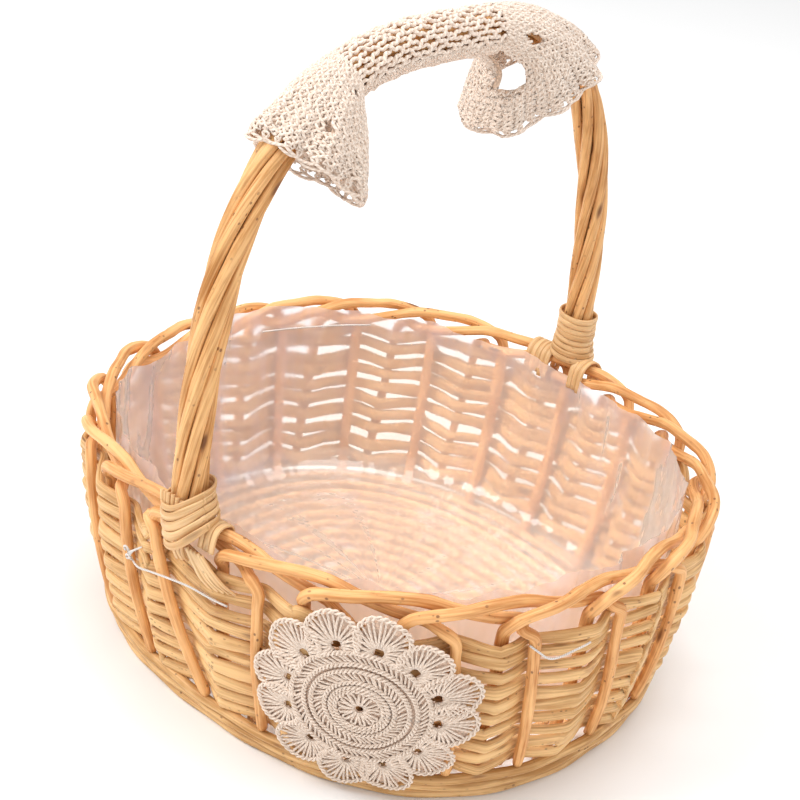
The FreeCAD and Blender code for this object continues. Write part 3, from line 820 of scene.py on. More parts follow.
# ---------------------------------------------------------------- stakes and border
@dataclass
class BorderRods:
    """The stakes: upright in the weave, woven into the border, then down outside."""

    radius: float = 2.75
    rail_height: float = 108.4
    lowest: float = 15.35
    foot_height: float = 3.0
    straight_drop: float = 14.2
    outer_drop: float = 15.0
    outer_offset: float = 4.0
    inner_offset: float = -0.6
    ends_after: float = 2.52
    usual_lean: float = 0.16
    knots: int = 4
    sides: int = 12
    known_nudge: dict[int, float] = field(default_factory=lambda: {
        12: 0.10, 13: -0.14, 14: 0.03, 17: -0.13, 18: -0.03, 19: 0.02})
    known_lean: dict[int, float] = field(default_factory=lambda: {
        12: 0.2, 13: 0.62, 14: 0.02, 17: 0.22, 18: 0.27, 19: 0.18})

    def nudge(self, number: int) -> float:
        """How far along the border this rod's outer end stands from even spacing."""
        return self.known_nudge.get(number, 0.09 * wander(3.3, number * 1.7))

    def lean(self, number: int) -> float:
        """How far along the wall this rod's outer end leans between top and bottom."""
        return self.known_lean.get(number, self.usual_lean + 0.1 * wander(8.8, number * 1.3))

    def outer_place(self, number: int, height: float) -> float:
        """Where the outer end of rod number crosses a height."""
        top = self.rail_height - self.outer_drop
        share = (top - height) / (top - self.lowest)
        middle = FORM.first_stake + number + self.ends_after + self.nudge(number)
        return middle + self.lean(number) * (share - 0.5)

    def route(self, number: int) -> list[tuple[float, float, float]]:
        """Stops of one rod as place, height and offset."""
        stake = FORM.first_stake + number
        top = self.rail_height
        straight = top - self.straight_drop
        foot = self.foot_height
        stops = []
        for share in (0.0, 0.3, 0.55, 0.8, 1.0):
            stops.append((stake, foot + share * (straight - foot), self.inner_offset))
        rise = 0.8 * wander(5.1, number * 2.3)
        down = self.outer_place(number, top - self.outer_drop)
        stops += [
            (stake + 0.01, top - 10.0, 1.9),
            (stake + 0.13, top - 4.6, 3.9),
            (stake + 0.50, top - 0.9 + rise * 0.4, 3.6),
            (stake + 0.85, top + rise * 0.5, -0.4),
            (stake + 1.20, top - 0.3, -2.6),
            (stake + 1.55, top - 4.4, -3.4),
            (stake + 1.90, top - 8.2, -4.1),
            (stake + 2.20, top - 9.6, -2.6),
            (down - 0.13, top - 10.6, 2.6),
            (down, top - 14.6, self.outer_offset),
        ]
        for share in (0.1, 0.25, 0.5, 0.75, 1.0):
            height = blend(top - self.outer_drop, self.lowest + 1.5 * wander(2.2, number), share)
            sway = 0.25 * wander(number + 0.4, share * 3.0)
            stops.append((self.outer_place(number, height) + 0.012 * wander(number, share * 2.0),
                          height, self.outer_offset + sway))
        return stops

    def build(self, number: int, finish: bpy.types.Material) -> None:
        """Grows and dresses one rod."""
        stops = self.route(number)
        ends = [FORM.wall(*stop) for stop in stops]
        lengths = [(after - before).length for before, after in pairwise(ends)]
        rings = []
        points = through(stops, lengths, 7)
        knots = [0.5 + 0.5 * wander(number * 3 + knot + 0.5, 4.0 * knot + 1.7)
                 for knot in range(self.knots)]
        for step, (place, height, offset) in enumerate(points):
            share = step / (len(points) - 1)
            thick = self.radius * blend(1.05, 0.93, share)
            thick *= (1 + 0.045 * wander(number + 0.7, share * 14.0)
                      + 0.02 * wander(number, share * 60.0))
            thick = swollen(thick, share, knots, 0.09, 95.0)
            if share in (0.0, 1.0):
                thick *= 0.86
            rings.append(Ring(FORM.wall(place, height, offset), thick * MM,
                              thick * 0.97 * MM, FORM.normal(place, height)))
        bundle = Bundle(f"willow_rod_{number + 1:02d}")
        tone = 0.5 + 0.45 * wander(11.0, number * 1.9)
        bundle.add(grow_rod(rings, self.sides, tone, start=number * 0.73))
        bundle.finish(finish, Slot.BORDER, [f"stake_{number + 1:02d}"])

    def build_all(self) -> None:
        """Grows all the rods."""
        finish = BORDER_FINISH.material()
        for number in range(FORM.stakes):
            self.build(number, finish)


# ---------------------------------------------------------------- side weavers
@dataclass
class SideWeave:
    """Ten rows of split willow, in front of the stakes and behind the outer rods."""

    rods: BorderRods
    rows: int = 10
    first_height: float = 18.4
    pitch: float = 8.0
    half_depth: float = 3.15
    half_thickness: float = 1.8
    ridge_offset: float = 5.1
    hollow_offset: float = -1.7
    unevenness: float = 1.25
    loose_from: int = 8
    loose_mess: float = 2.1
    end_gap: float = 0.03

    def stops(self, row: int) -> list[tuple[float, float, float, float]]:
        """Place, height, offset and pinch of one row, once round the wall."""
        level = self.first_height + row * self.pitch
        level += 0.6 * wander(row + 0.3, 5.0)
        mess = self.loose_mess if row >= self.loose_from else 1.0
        low = self.hollow_offset
        stops = []
        for number in range(FORM.stakes):
            stake = FORM.first_stake + number
            rod = (number - 2) % FORM.stakes
            hollow = self.rods.outer_place(rod, level)
            if number < 2:
                hollow -= FORM.stakes
            ahead = stake + 1.0
            jog = self.unevenness * wander(row * 2.1 + 0.2, number * 1.37)
            dip = self.unevenness * wander(row * 1.7 + 0.9, number * 2.11 + 40.0)
            rise, fall = level + jog * mess, level + dip * mess
            swell = self.ridge_offset + 0.5 * wander(row * 3.3, number * 1.9)
            stops += [
                (stake, rise, swell, 1.0),
                (blend(stake, hollow, 0.10), blend(rise, fall, 0.07), swell - 0.45, 0.6),
                (blend(stake, hollow, 0.5), blend(rise, fall, 0.5), blend(swell, low, 0.47), 0.0),
                (blend(stake, hollow, 0.86), blend(rise, fall, 0.9), low + 0.55, 0.0),
                (hollow, fall, low, 0.3),
                (blend(hollow, ahead, 0.14), blend(fall, rise, 0.1), low + 0.55, 0.0),
                (blend(hollow, ahead, 0.5), blend(fall, rise, 0.45), blend(low, swell, 0.53), 0.0),
                (blend(hollow, ahead, 0.90), blend(fall, rise, 0.9), swell - 0.45, 0.6),
            ]
        return stops

    def build(self, row: int, finish: bpy.types.Material) -> None:
        """Grows and dresses one row."""
        stops = self.stops(row)
        stops.append((stops[0][0] + FORM.stakes - self.end_gap, *stops[0][1:]))
        points = [FORM.wall(*stop[:3]) for stop in stops]
        lengths = [(after - before).length for before, after in pairwise(points)]
        rings = []
        for place, height, offset, pinch in through(stops, lengths, 2):
            along = place * 0.9
            depth = self.half_depth * (1 + 0.20 * wander(row + 0.1, along)
                                       + 0.10 * wander(row, along * 5.0))
            depth *= 1 + 0.05 * pinch
            thick = self.half_thickness * (1 + 0.10 * wander(row + 5.5, along * 2.0) - 0.12 * pinch)
            slope = FORM.wall(place, height + 3.0) - FORM.wall(place, height - 3.0)
            tilt = slope.normalized() + (FORM.normal(place, height)
                                         * 0.28 * wander(row + 0.8, along * 1.3))
            rings.append(Ring(FORM.wall(place, height, offset), depth * MM, thick * MM, tilt))
        bundle = Bundle(f"weaver_row_{row + 1:02d}")
        tone = 0.42 + 0.4 * wander(21.0, row * 2.7)
        bundle.add(grow_rod(rings, 10, tone, start=row * 0.91, boxy=2.7))
        bundle.finish(finish, Slot.WEAVER, [f"weaver_{row + 1:02d}"])

    def build_all(self) -> None:
        """Grows all the rows."""
        finish = WEAVER_FINISH.material()
        for row in range(self.rows):
            self.build(row, finish)


# ---------------------------------------------------------------- waling round the foot
@dataclass
class FootWaling:
    """Three long rods that close the wall at the floor."""

    radius: float = 2.4
    offset: float = 5.15
    heights: Spot = (2.3, 7.35, 12.5)
    nodes: tuple[str, str, str] = ("foot_waling", "middle_waling", "upper_waling")
    steps_each: int = 8

    def build_all(self) -> None:
        """Grows and dresses the three rods."""
        finish = WEAVER_FINISH.material()
        steps = FORM.stakes * self.steps_each
        for level, (height, node) in enumerate(zip(self.heights, self.nodes)):
            rings = []
            for step in range(steps):
                place = FORM.stakes * step / steps + 0.25 + level * 6.0
                wave = 0.0 if level == 0 else 0.7 * wander(level + 0.6, place * 0.6)
                thick = self.radius * (1 + 0.05 * wander(level, place * 0.8))
                thick = min(thick, height) if level == 0 else thick
                bulge = 0.4 * math.sin(2 * math.pi * (place - FORM.first_stake + level * 0.33))
                middle = FORM.wall(place, height + wave, self.offset + bulge)
                rings.append(Ring(middle, thick * 0.98 * MM, thick * 1.02 * MM, UP))
            bundle = Bundle(f"willow_{node}")
            bundle.add(grow_rod(rings, 12, 0.55 + 0.15 * level, start=3.0 * level, closed=True))
            bundle.finish(finish, Slot.WEAVER, [node])


# ---------------------------------------------------------------- the handle
@dataclass
class TwistedHandle:
    """Six rods laid round a core, right-handed, from foot to foot."""

    orbit: float = 5.45
    radius: float = 2.5
    lay: float = 228.0
    strands: int = 6
    steps: int = 150
    knots: int = 5
    core_radius: float = 2.3
    core_steps: int = 60

    def line(self, share: float, turn: float, orbit: float) -> tuple[Vector, Vector]:
        """A point that circles the handle's middle line, and its outward direction."""
        angle = turn + 2 * math.pi * share * FORM.arch_length() / self.lay
        across = FORM.arch_outward(share) * math.cos(angle) + LONG * math.sin(angle)
        return FORM.arch(share) + across * orbit * MM, across

    def build_all(self) -> None:
        """Grows and dresses the core and the strands."""
        finish = HANDLE_FINISH.material()
        core = Bundle("handle_core_rod")
        reach = self.core_radius * MM
        core.add(grow_rod([Ring(FORM.arch(step / self.core_steps), reach, reach, LONG)
                           for step in range(self.core_steps + 1)], 8, 0.9))
        core.finish(finish, Slot.HANDLE, ["handle_core"])
        for number in range(self.strands):
            knots = [0.5 + 0.52 * wander(number * 4 + knot + 0.5, 3.0 * knot + 0.7)
                     for knot in range(self.knots)]
            rings = []
            for step in range(self.steps + 1):
                share = step / self.steps
                turn = 2 * math.pi * number / self.strands
                turn += 0.07 * wander(number + 0.2, share * 9.0)
                orbit = self.orbit + 0.35 * wander(number + 0.5, share * 8.0)
                thick = self.radius * (1 + 0.06 * wander(number + 0.8, share * 12.0))
                thick = swollen(thick, share, knots, 0.10, 110.0)
                middle, across = self.line(share, turn, orbit)
                rings.append(Ring(middle, thick * 0.97 * MM, thick * 1.06 * MM, across))
            bundle = Bundle(f"handle_rod_{number + 1}")
            tone = 0.5 + 0.45 * wander(31.0, number * 2.3)
            bundle.add(grow_rod(rings, 12, tone, start=number * 1.1))
            bundle.finish(finish, Slot.HANDLE, [f"handle_strand_{number + 1}"])


# ---------------------------------------------------------------- the base
@dataclass
class BasketBase:
    """The woven base keeps its built shape and takes a willow finish."""

    nodes: tuple[str, ...] = ("base_cross_sticks", "base_long_sticks", "base_weave")

    def build_all(self, nodes: dict[str, bpy.types.Object]) -> None:
        """Dresses the base's nodes."""
        finish = BASE_FINISH.material()
        for name in self.nodes:
            data = nodes[name].data
            data.materials.clear()
            data.materials.append(finish)
            LOG.info("%s: dressed", name)


# ---------------------------------------------------------------- crochet
def yarn(points: Sequence[Vector], radius: float, facing: Facing, start: float,
         closed: bool = False, sides: int = 5) -> bmesh.types.BMesh:
    """One round yarn along some points.

    Args:
        points: Its middle line, in metres.
        radius: Half its thickness, in millimetres.
        facing: The cloth's outward direction at a point's number.
        start: Length at which its twist starts.
        closed: Whether it runs back into itself.
        sides: Corners of its section.

    Returns:
        The yarn's own bmesh.
    """
    rings = [Ring(point, radius * MM, radius * 0.92 * MM, facing(number))
             for number, point in enumerate(points)]
    return grow_rod(rings, sides, 0.5, start=start, closed=closed)


@dataclass
class CrochetCuff:
    """A frill of crochet that hangs from the handle: wavy rows over a thin cloth coloured as
    painted shade.

    Each ring is (y, z) of its top, (y, z) of its bottom and its half width.
    """

    name: str
    node: str
    rings: tuple[HungRing, ...]
    seed: float
    rows: int
    stitches: int
    flat: tuple[float, float]
    holes: tuple[Spot, ...]
    gap_half: float = 0.0
    gap_turn: float = 0.0
    gap_end: float = 0.0
    yarn_radius: float = 0.76
    drop: float = 60.0
    around: int = 72
    along: int = 30
    least_run: int = 8
    lines: list[list[float]] = field(default_factory=list)

    def ring_at(self, share: float) -> list[float]:
        """The ring at a share of the way from the collar to the hem."""
        if not self.lines:
            lengths = [math.dist((a[0] + a[2], a[1] + a[3]), (b[0] + b[2], b[1] + b[3])) / 2
                       for a, b in pairwise(self.rings)]
            self.lines = through(self.rings, lengths, 12)
        spot = min(max(share, 0.0), 1.0) * (len(self.lines) - 1)
        low = min(int(spot), len(self.lines) - 2)
        return [blend(a, b, spot - low) for a, b in zip(self.lines[low], self.lines[low + 1])]

    def surface(self, turn: float, share: float, proud: float = 0.0) -> Vector:
        """A point of the cloth, in metres.

        Args:
            turn: Share of the way round, from the hanging side.
            share: Share of the way from the collar to the hem.
            proud: Millimetres outwards from the cloth.

        Returns:
            The point.
        """
        top_y, top_z, low_y, low_z, half_width = self.ring_at(share)
        angle = 2 * math.pi * turn
        middle = Vector((0.0, (top_y + low_y) / 2, (top_z + low_z) / 2))
        down = Vector((0.0, low_y - top_y, low_z - top_z)) / 2
        out = (down * math.cos(angle) / down.length_squared
               + LONG * math.sin(angle) / half_width).normalized()
        beyond = max(share - 1.0, 0.0)
        frill = 3.2 * share**2 * ripple(self.seed, angle, share * 0.8, 2.3)
        frill += 0.8 * share * ripple(self.seed + 4.0, angle, share * 2.0, 5.0)
        point = middle + down * math.cos(angle) + LONG * half_width * math.sin(angle)
        collar = self.rings[0]
        lengthwise = middle - Vector((0.0, collar[0] + collar[2], collar[1] + collar[3])) / 2
        if lengthwise.length > 1e-6:
            point += lengthwise.normalized() * beyond * self.drop
        return (point + out * (frill + proud)) * MM

    def outward(self, turn: float, share: float) -> Vector:
        """The cloth's outward direction."""
        return (self.surface(turn, share, 1.0) - self.surface(turn, share)).normalized()

    def is_open(self, turn: float, share: float) -> bool:
        """Whether the cloth has a gap here."""
        side = abs((turn - self.gap_turn + 0.5) % 1.0 - 0.5)
        if side < self.gap_half and share < self.gap_end:
            return True
        return any(math.hypot((turn - at) * 2.2, share - down) < size
                   for at, down, size in self.holes)

    def shade_cloth(self) -> bmesh.types.BMesh:
        """The thin cloth under the yarn rows, dark as painted shade between them."""
        bm, turns = cloth_circle(self.around, "turn", 1.0)
        downs = bm.verts.layers.float.new("down")
        edges = list(bm.edges)
        for vert in bm.verts:
            vert.co = self.surface(vert[turns], 0.0, -0.5)
        for step in range(1, self.along + 1):
            verts, edges = grow_ring(bm, edges)
            for vert in verts:
                vert[downs] = step / self.along
                vert.co = self.surface(vert[turns], step / self.along, -0.5)
        bare = []
        for face in bm.faces:
            around = [vert[turns] for vert in face.verts]
            turn = 1.0 if max(around) - min(around) > 0.5 else sum(around) / 4
            if self.is_open(turn, sum(vert[downs] for vert in face.verts) / 4):
                bare.append(face)
        bmesh.ops.delete(bm, geom=bare, context="FACES")
        return smooth_cloth(bm)

    def row_runs(self, row: int, phase: float) -> list[list[Spot]]:
        """One wavy yarn of a row, in runs of turn, share and proudness."""
        steps = self.stitches * 8
        height = 1.0 / self.rows
        runs, run = [], []
        for step in range(steps + 1):
            turn = step / steps
            angle = 2 * math.pi * turn
            swing = 2 * math.pi * (self.stitches * turn + phase)
            swing += 0.7 * ripple(row + 0.3, angle, 0.0, 4.0)
            reach = 0.66 + 0.22 * ripple(row + 7.0 + phase, angle, 1.0, 5.0)
            share = (row + 0.5 + reach * math.sin(swing)) * height
            sideways = 0.30 * math.sin(2 * swing) / self.stitches
            proud = 0.35 * math.cos(swing + math.pi * 2 * phase)
            proud += 0.3 * ripple(row + 2.0, angle, 2.0, 6.0)
            if self.is_open(turn, share):
                runs.append(run)
                run = []
            else:
                run.append((turn + sideways, share, proud))
        return [run for run in (*runs, run) if len(run) > self.least_run]

    def stitch_rows(self) -> Bundle:
        """All the yarn of the cuff."""
        bundle = Bundle(f"{self.name}_yarn")
        for row in range(self.rows):
            for half in (0.0, 0.5):
                for run in self.row_runs(row, half):
                    points = [self.surface(*spot) for spot in run]
                    thick = self.yarn_radius * (1.0 + 0.1 * wander(row, half))
                    bundle.add(yarn(points, thick, lambda n, run=run: self.outward(*run[n][:2]),
                                    row * 0.4 + half))
        self.edging(bundle)
        return bundle

    def edging(self, bundle: Bundle) -> None:
        """Loops of yarn along the hem."""
        loops = self.stitches // 2
        steps = loops * 12
        for layer, lift in ((0.0, 0.35), (0.5, -0.25)):
            run = []
            for step in range(steps):
                turn = step / steps
                angle = 2 * math.pi * turn
                swing = 2 * math.pi * (loops * turn + layer)
                uneven = 1 + 0.35 * ripple(self.seed + 1.5, angle, 0.0, 4.0)
                share = 1.005 + 0.030 * (1 - math.cos(swing)) * uneven
                run.append((turn - 0.30 * math.sin(swing) / loops, share, lift))
            points = [self.surface(*spot) for spot in run]
            bundle.add(yarn(points, self.yarn_radius,
                            lambda n, run=run: self.outward(run[n][0], 1.0),
                            9.0 + layer, closed=True))

    def build(self, finish: bpy.types.Material, shade_cloth_finish: bpy.types.Material) -> None:
        rows = self.stitch_rows().finish(finish, Slot.COTTON)
        shade_cloth = Bundle(f"{self.name}_ground", self.shade_cloth())
        cloth = shade_cloth.finish(shade_cloth_finish, Slot.COTTON, [self.node])


@dataclass
class CrochetSleeve:
    """The open net of thick cotton round the top of the handle."""

    first: float = 0.374
    last: float = 0.547
    radius: float = 9.9
    yarn_radius: float = 0.92
    yarns: int = 13
    cell: float = 5.2
    seam_yarn_radius: float = 0.6
    seam_rows: int = 7
    seam_waves: int = 26
    seam_from: float = 118
    seam_step: float = 15
    seam_swing: float = 8.5

    def facing(self, share: float, angle: float) -> Vector:
        """Outward direction round the handle; the angle is from its outside towards +X."""
        return FORM.arch_outward(share) * math.cos(angle) + LONG * math.sin(angle)

    def strand(self, bundle: Bundle, spots: Sequence[Spot], thick: float, start: float,
               sides: int) -> None:
        """Adds one yarn through spots given as share, angle and radius."""
        points = [FORM.arch(share) + self.facing(share, angle) * radius * MM
                  for share, angle, radius in spots]
        bundle.add(yarn(points, thick, lambda n: self.facing(*spots[n][:2]), start, sides=sides))

    def net(self, bundle: Bundle) -> None:
        """Yarns that wind both ways and twist past each other."""
        extent = self.last - self.first
        cells = extent * FORM.arch_length() / self.cell
        steps = int(cells * 8)
        for way in (-1, 1):
            for number in range(self.yarns):
                spots = []
                for step in range(steps + 1):
                    part = step / steps
                    swing = 2 * math.pi * cells * part
                    angle = 2 * math.pi * (number + way * cells * part / 2) / self.yarns
                    angle += (way * 0.07 * math.sin(swing)
                              + 0.05 * ripple(number + way * 3.0, part * 3.0, part, 2.0))
                    lift = 0.42 * way * math.cos(swing * 0.5 + math.pi * number)
                    lift += 0.4 * wander(number + 0.4, part * 9.0)
                    spots.append((self.first + extent * part, angle, self.radius + lift))
                thick = self.yarn_radius * (1 + 0.1 * wander(number, way))
                self.strand(bundle, spots, thick, number * 0.3, 7)

    def seam(self) -> Bundle:
        """Dense wavy rows along the underside, where the net is joined."""
        bundle = Bundle("crochet_sleeve_seam")
        steps = self.seam_waves * 7
        for row in range(self.seam_rows):
            base = math.radians(self.seam_from + row * self.seam_step)
            for half in (0.0, 0.5):
                spots = []
                for step in range(steps + 1):
                    part = step / steps
                    swing = 2 * math.pi * (self.seam_waves * part + half)
                    swing += 0.6 * wander(row + half, part * 9.0)
                    angle = base + math.radians(self.seam_swing) * math.sin(swing)
                    spots.append((blend(self.first, self.last, part), angle,
                                  self.radius + 0.3 + 0.35 * math.cos(swing)))
                self.strand(bundle, spots, self.seam_yarn_radius, row * 0.7 + half, 5)
        return bundle

    def build(self, finish: bpy.types.Material) -> None:
        seam = self.seam().finish(finish, Slot.COTTON)
        bundle = Bundle("crochet_sleeve_net")
        self.net(bundle)
        net = bundle.finish(finish, Slot.COTTON, ["crochet_sleeve"])


@dataclass
class CrochetFlower:
    """A round crochet flower: close rounds, then twelve fans, each about a small hole."""

    place: float = 17.92
    height: float = 54.6
    lift: float = 7.9
    petals: int = 12
    turn: float = 0.70
    yarn_radius: float = 0.62
    chain_rounds: tuple[float, ...] = (9.6, 11.9, 14.2, 20.4, 22.8, 29.0)
    post_rounds: tuple[tuple[float, float, int, float], ...] = (
        (2.0, 8.6, 13, 0.10), (14.6, 19.8, 27, 0.26), (23.0, 28.4, 37, 0.20))
    hub_round: float = 31.4
    hole: float = 1.9
    stretch: float = 1.045
    link: float = 3.9
    fan_posts: int = 14
    fan_links: int = 13
    widest: float = 126.0
    around: int = 216
    along: int = 30
    middle_hole: float = 1.6
    tip: float = 45.6
    notch: float = 10.5

    def point(self, x: float, y: float, proud: float = 0.0) -> Vector:
        """A point of the flower from its own flat x and y, in millimetres."""
        at = self.place + x / FORM.spacing()
        wave = 0.9 * ripple(2.0, math.atan2(y, x), 0.0, 2.4) * (math.hypot(x, y) / 45) ** 2
        return FORM.wall(at, self.height + y * self.stretch, self.lift + proud + wave)

    def facing(self, x: float, y: float) -> Vector:
        """Outward direction of the flower."""
        return (self.point(x, y, 1.0) - self.point(x, y)).normalized()

    def strand(self, bundle: Bundle, flat: Sequence[Spot], radius: float,
               start: float, closed: bool = False) -> None:
        """Adds one yarn that follows flat points (x, y, proudness)."""
        points = [self.point(*spot) for spot in flat]
        bundle.add(yarn(points, radius, lambda n: self.facing(*flat[n][:2]), start, closed=closed))

    def post(self, bundle: Bundle, foot: tuple[float, float], head: tuple[float, float],
             seed: float) -> None:
        """Adds one tall stitch: a loop of yarn up one side and down the other."""
        run = Vector((head[0] - foot[0], head[1] - foot[1]))
        side = Vector((-run.y, run.x)).normalized()
        bend = 0.5 * wander(seed, 0.5)
        flat = []
        for along, across, proud in (
                (0.0, 0.30, -0.2), (0.3, 0.85, 0.5), (0.65, 0.95, 0.7), (0.92, 1.0, 0.55),
                (1.04, 0.0, 0.25), (0.90, -0.95, 0.45), (0.6, -0.75, 0.2), (0.3, -0.6, 0.5),
                (0.0, -0.2, -0.2)):
            spot = Vector(foot) + run * along + side * (across + bend * math.sin(math.pi * along))
            flat.append((spot.x, spot.y, proud))
        self.strand(bundle, flat, self.yarn_radius * (1 + 0.1 * wander(seed, 3.0)), seed)

    def chain(self, bundle: Bundle, line: Callable[[float], tuple[float, float]], links: int,
              seed: float, closed: bool = True) -> None:
        """Adds two yarns that plait along a line.

        Args:
            bundle: The piece that they belong to.
            line: The line's flat point at a share of its length.
            links: How many times the yarns cross over and back.
            seed: Length at which their twist starts.
            closed: Whether the line runs back into itself.
        """
        for half in (0.0, 0.5):
            flat = []
            steps = links * 6
            for step in range(steps + (0 if closed else 1)):
                part = step / steps
                swing = 2 * math.pi * (links * part + half)
                x, y = line(part)
                ahead = line(part + 0.001)
                side = Vector((y - ahead[1], ahead[0] - x)).normalized() * 0.72 * math.sin(swing)
                flat.append((x + side.x, y + side.y, 0.85 + 0.45 * math.cos(swing)))
            self.strand(bundle, flat, self.yarn_radius, seed + half, closed=closed)

    def hub(self, petal: int) -> tuple[Vector, Vector]:
        """The hole that a fan is worked into, and the fan's outward direction."""
        middle = 2 * math.pi * (petal + self.turn + 0.10 * wander(1.4, petal * 2.2)) / self.petals
        out = Vector((math.cos(middle), math.sin(middle)))
        return out * (self.hub_round + 0.8 * wander(2.9, petal * 1.7)), out

    def fan_point(self, petal: int, swing: float, share: float) -> tuple[float, float]:
        """A flat point of a fan.

        Args:
            petal: The fan's number.
            swing: Degrees from the fan's outward direction.
            share: Share of the fan's reach in that direction.

        Returns:
            The point's x and y, in millimetres.
        """
        hub, out = self.hub(petal)
        side = Vector((-out.y, out.x))
        reach = 7.2 + 8.8 * (0.5 + 0.5 * math.cos(math.radians(min(abs(swing) * 1.35, 180.0))))
        reach *= 1 + 0.07 * wander(petal + 0.3, swing * 0.02) + 0.06 * wander(5.0, petal * 3.1)
        along = blend(self.hole, reach, share)
        turn = math.radians(swing)
        spot = hub + (out * math.cos(turn) + side * math.sin(turn)) * along
        return spot.x, spot.y

    def rounds(self, bundle: Bundle) -> None:
        """Adds the close rounds in the middle."""
        for number, (inner, outer, count, slant) in enumerate(self.post_rounds):
            for stitch in range(count):
                uneven = stitch + 0.37 * number + 0.12 * wander(number, stitch * 1.3)
                angle = 2 * math.pi * uneven / count
                foot = (inner * math.cos(angle), inner * math.sin(angle))
                head = (outer * math.cos(angle + slant), outer * math.sin(angle + slant))
                self.post(bundle, foot, head, number * 9.0 + stitch * 0.7)
        for number, radius in enumerate(self.chain_rounds):
            around = radius + 0.4 * wander(number + 0.4, 1.0)
            self.chain(bundle, lambda t, reach=around: (reach * math.cos(2 * math.pi * t),
                                                        reach * math.sin(2 * math.pi * t)),
                       round(2 * math.pi * radius / self.link), 5.0 + number)

    def fans(self, bundle: Bundle) -> None:
        """Adds the twelve fans and their edges."""
        side = self.widest
        for petal in range(self.petals):
            for stitch in range(self.fan_posts):
                swing = blend(-side, side, (stitch + 0.5) / self.fan_posts)
                swing += 4.0 * wander(petal + 0.1, stitch * 1.7)
                self.post(bundle, self.fan_point(petal, swing, 0.05),
                          self.fan_point(petal, swing, 0.97), petal * 13.0 + stitch)
            self.chain(bundle, lambda t, p=petal: self.fan_point(p, blend(-side, side, t), 1.0),
                       self.fan_links, petal * 1.7, closed=False)

    def shade_cloth(self) -> bmesh.types.BMesh:
        """The cloth that the yarns lie on, dark as painted shade between them, scalloped, with a
        hole in each fan.
        """
        bm, turn = cloth_circle(self.around, "turn", 2 * math.pi)
        flat_x = bm.verts.layers.float.new("flat_x")
        flat_y = bm.verts.layers.float.new("flat_y")
        verts, edges = list(bm.verts), list(bm.edges)
        for step in range(self.along + 1):
            if step:
                verts, edges = grow_ring(bm, edges)
            for vert in verts:
                phase = (self.petals * vert[turn] / (2 * math.pi) - self.turn + 0.5) % 1.0 - 0.5
                outline = self.tip - self.notch * abs(2 * phase) ** 2.6
                reach = blend(self.middle_hole, outline, step / self.along)
                vert[flat_x] = reach * math.cos(vert[turn])
                vert[flat_y] = reach * math.sin(vert[turn])
                vert.co = self.point(vert[flat_x], vert[flat_y], -0.55)
        hubs = [self.hub(petal)[0] for petal in range(self.petals)]
        pierced = []
        for face in bm.faces:
            middle = Vector((sum(vert[flat_x] for vert in face.verts),
                             sum(vert[flat_y] for vert in face.verts))) / 4
            if any((middle - hub).length < self.hole for hub in hubs):
                pierced.append(face)
        bmesh.ops.delete(bm, geom=pierced, context="FACES")
        return smooth_cloth(bm)

    def build(self, finish: bpy.types.Material, shade_cloth_finish: bpy.types.Material) -> None:
        bundle = Bundle("crochet_flower_yarn")
        self.rounds(bundle)
        self.fans(bundle)
        rows = bundle.finish(finish, Slot.FLOWER)
        shade_cloth = Bundle("crochet_flower_shade_cloth", self.shade_cloth())
        cloth = shade_cloth.finish(shade_cloth_finish, Slot.FLOWER, ["crochet_flower"])


@dataclass
class CrochetTrim:
    """All the crochet: the sleeve, its two cuffs and the flower."""

    collar: float = 10.2

    def build_all(self) -> None:
        """Makes every crochet piece."""
        cotton = COTTON_FINISH.material()
        # The cuffs' dark cloth under the yarn is painted shade between the stitches.
        shade_cloth = CottonShadeCloth("cotton_shade_cloth", (0.50, 0.37, 0.28, 1.0)).material()
        CrochetSleeve().build(cotton)
        CrochetCuff(
            "near_cuff", "crochet_cuff_near", self.rings(0.376, (
                (0.345, 9.6, -57.0, 264.0, 16.5), (0.302, 10.4, -54.0, 240.0, 22.5))),
            seed=3.0, rows=12, stitches=29, flat=(0.12, 0.055),
            holes=((0.30, 0.22, 0.05), (0.36, 0.72, 0.04))).build(cotton, shade_cloth)
        CrochetCuff(
            "far_cuff", "crochet_cuff_far", self.rings(0.545, (
                (0.592, 10.6, 34.0, 278.0, 17.0), (0.636, 10.0, 27.0, 264.0, 22.0),
                (0.672, 10.0, 23.0, 255.0, 24.0))),
            seed=8.0, rows=14, stitches=32, flat=(0.13, 0.065), holes=((0.28, 0.24, 0.06),),
            gap_half=0.060, gap_turn=0.085, gap_end=0.50).build(cotton, shade_cloth)
        # The flower's dark cloth under the yarn is painted shade between the stitches.
        flower_shade_cloth = CottonShadeCloth("flower_shade_cloth", (0.64, 0.49, 0.39, 1.0)).material()
        CrochetFlower().build(FLOWER_FINISH.material(), flower_shade_cloth)

    def rings(self, start: float, hung: Sequence[HungRing]) -> tuple[HungRing, ...]:
        """The rings of a cuff, the first one square to the handle.

        Args:
            start: The collar's place, as a share of the handle's length.
            hung: For each further ring its place on the handle, the height of its top over
                the handle's middle, (y, z) of its bottom and its half width.

        Returns:
            Each ring as (y, z) of its top, (y, z) of its bottom and its half width.
        """
        middle = FORM.arch(start) / MM
        reach = FORM.arch_outward(start) * self.collar
        top, low = middle + reach, middle - reach
        found = [(top.y, top.z, low.y, low.z, self.collar)]
        for share, stand_off, low_y, low_z, half_width in hung:
            top = FORM.arch(share) / MM + FORM.arch_outward(share) * stand_off
            found.append((top.y, top.z, low_y, low_z, half_width))
        return tuple(found)


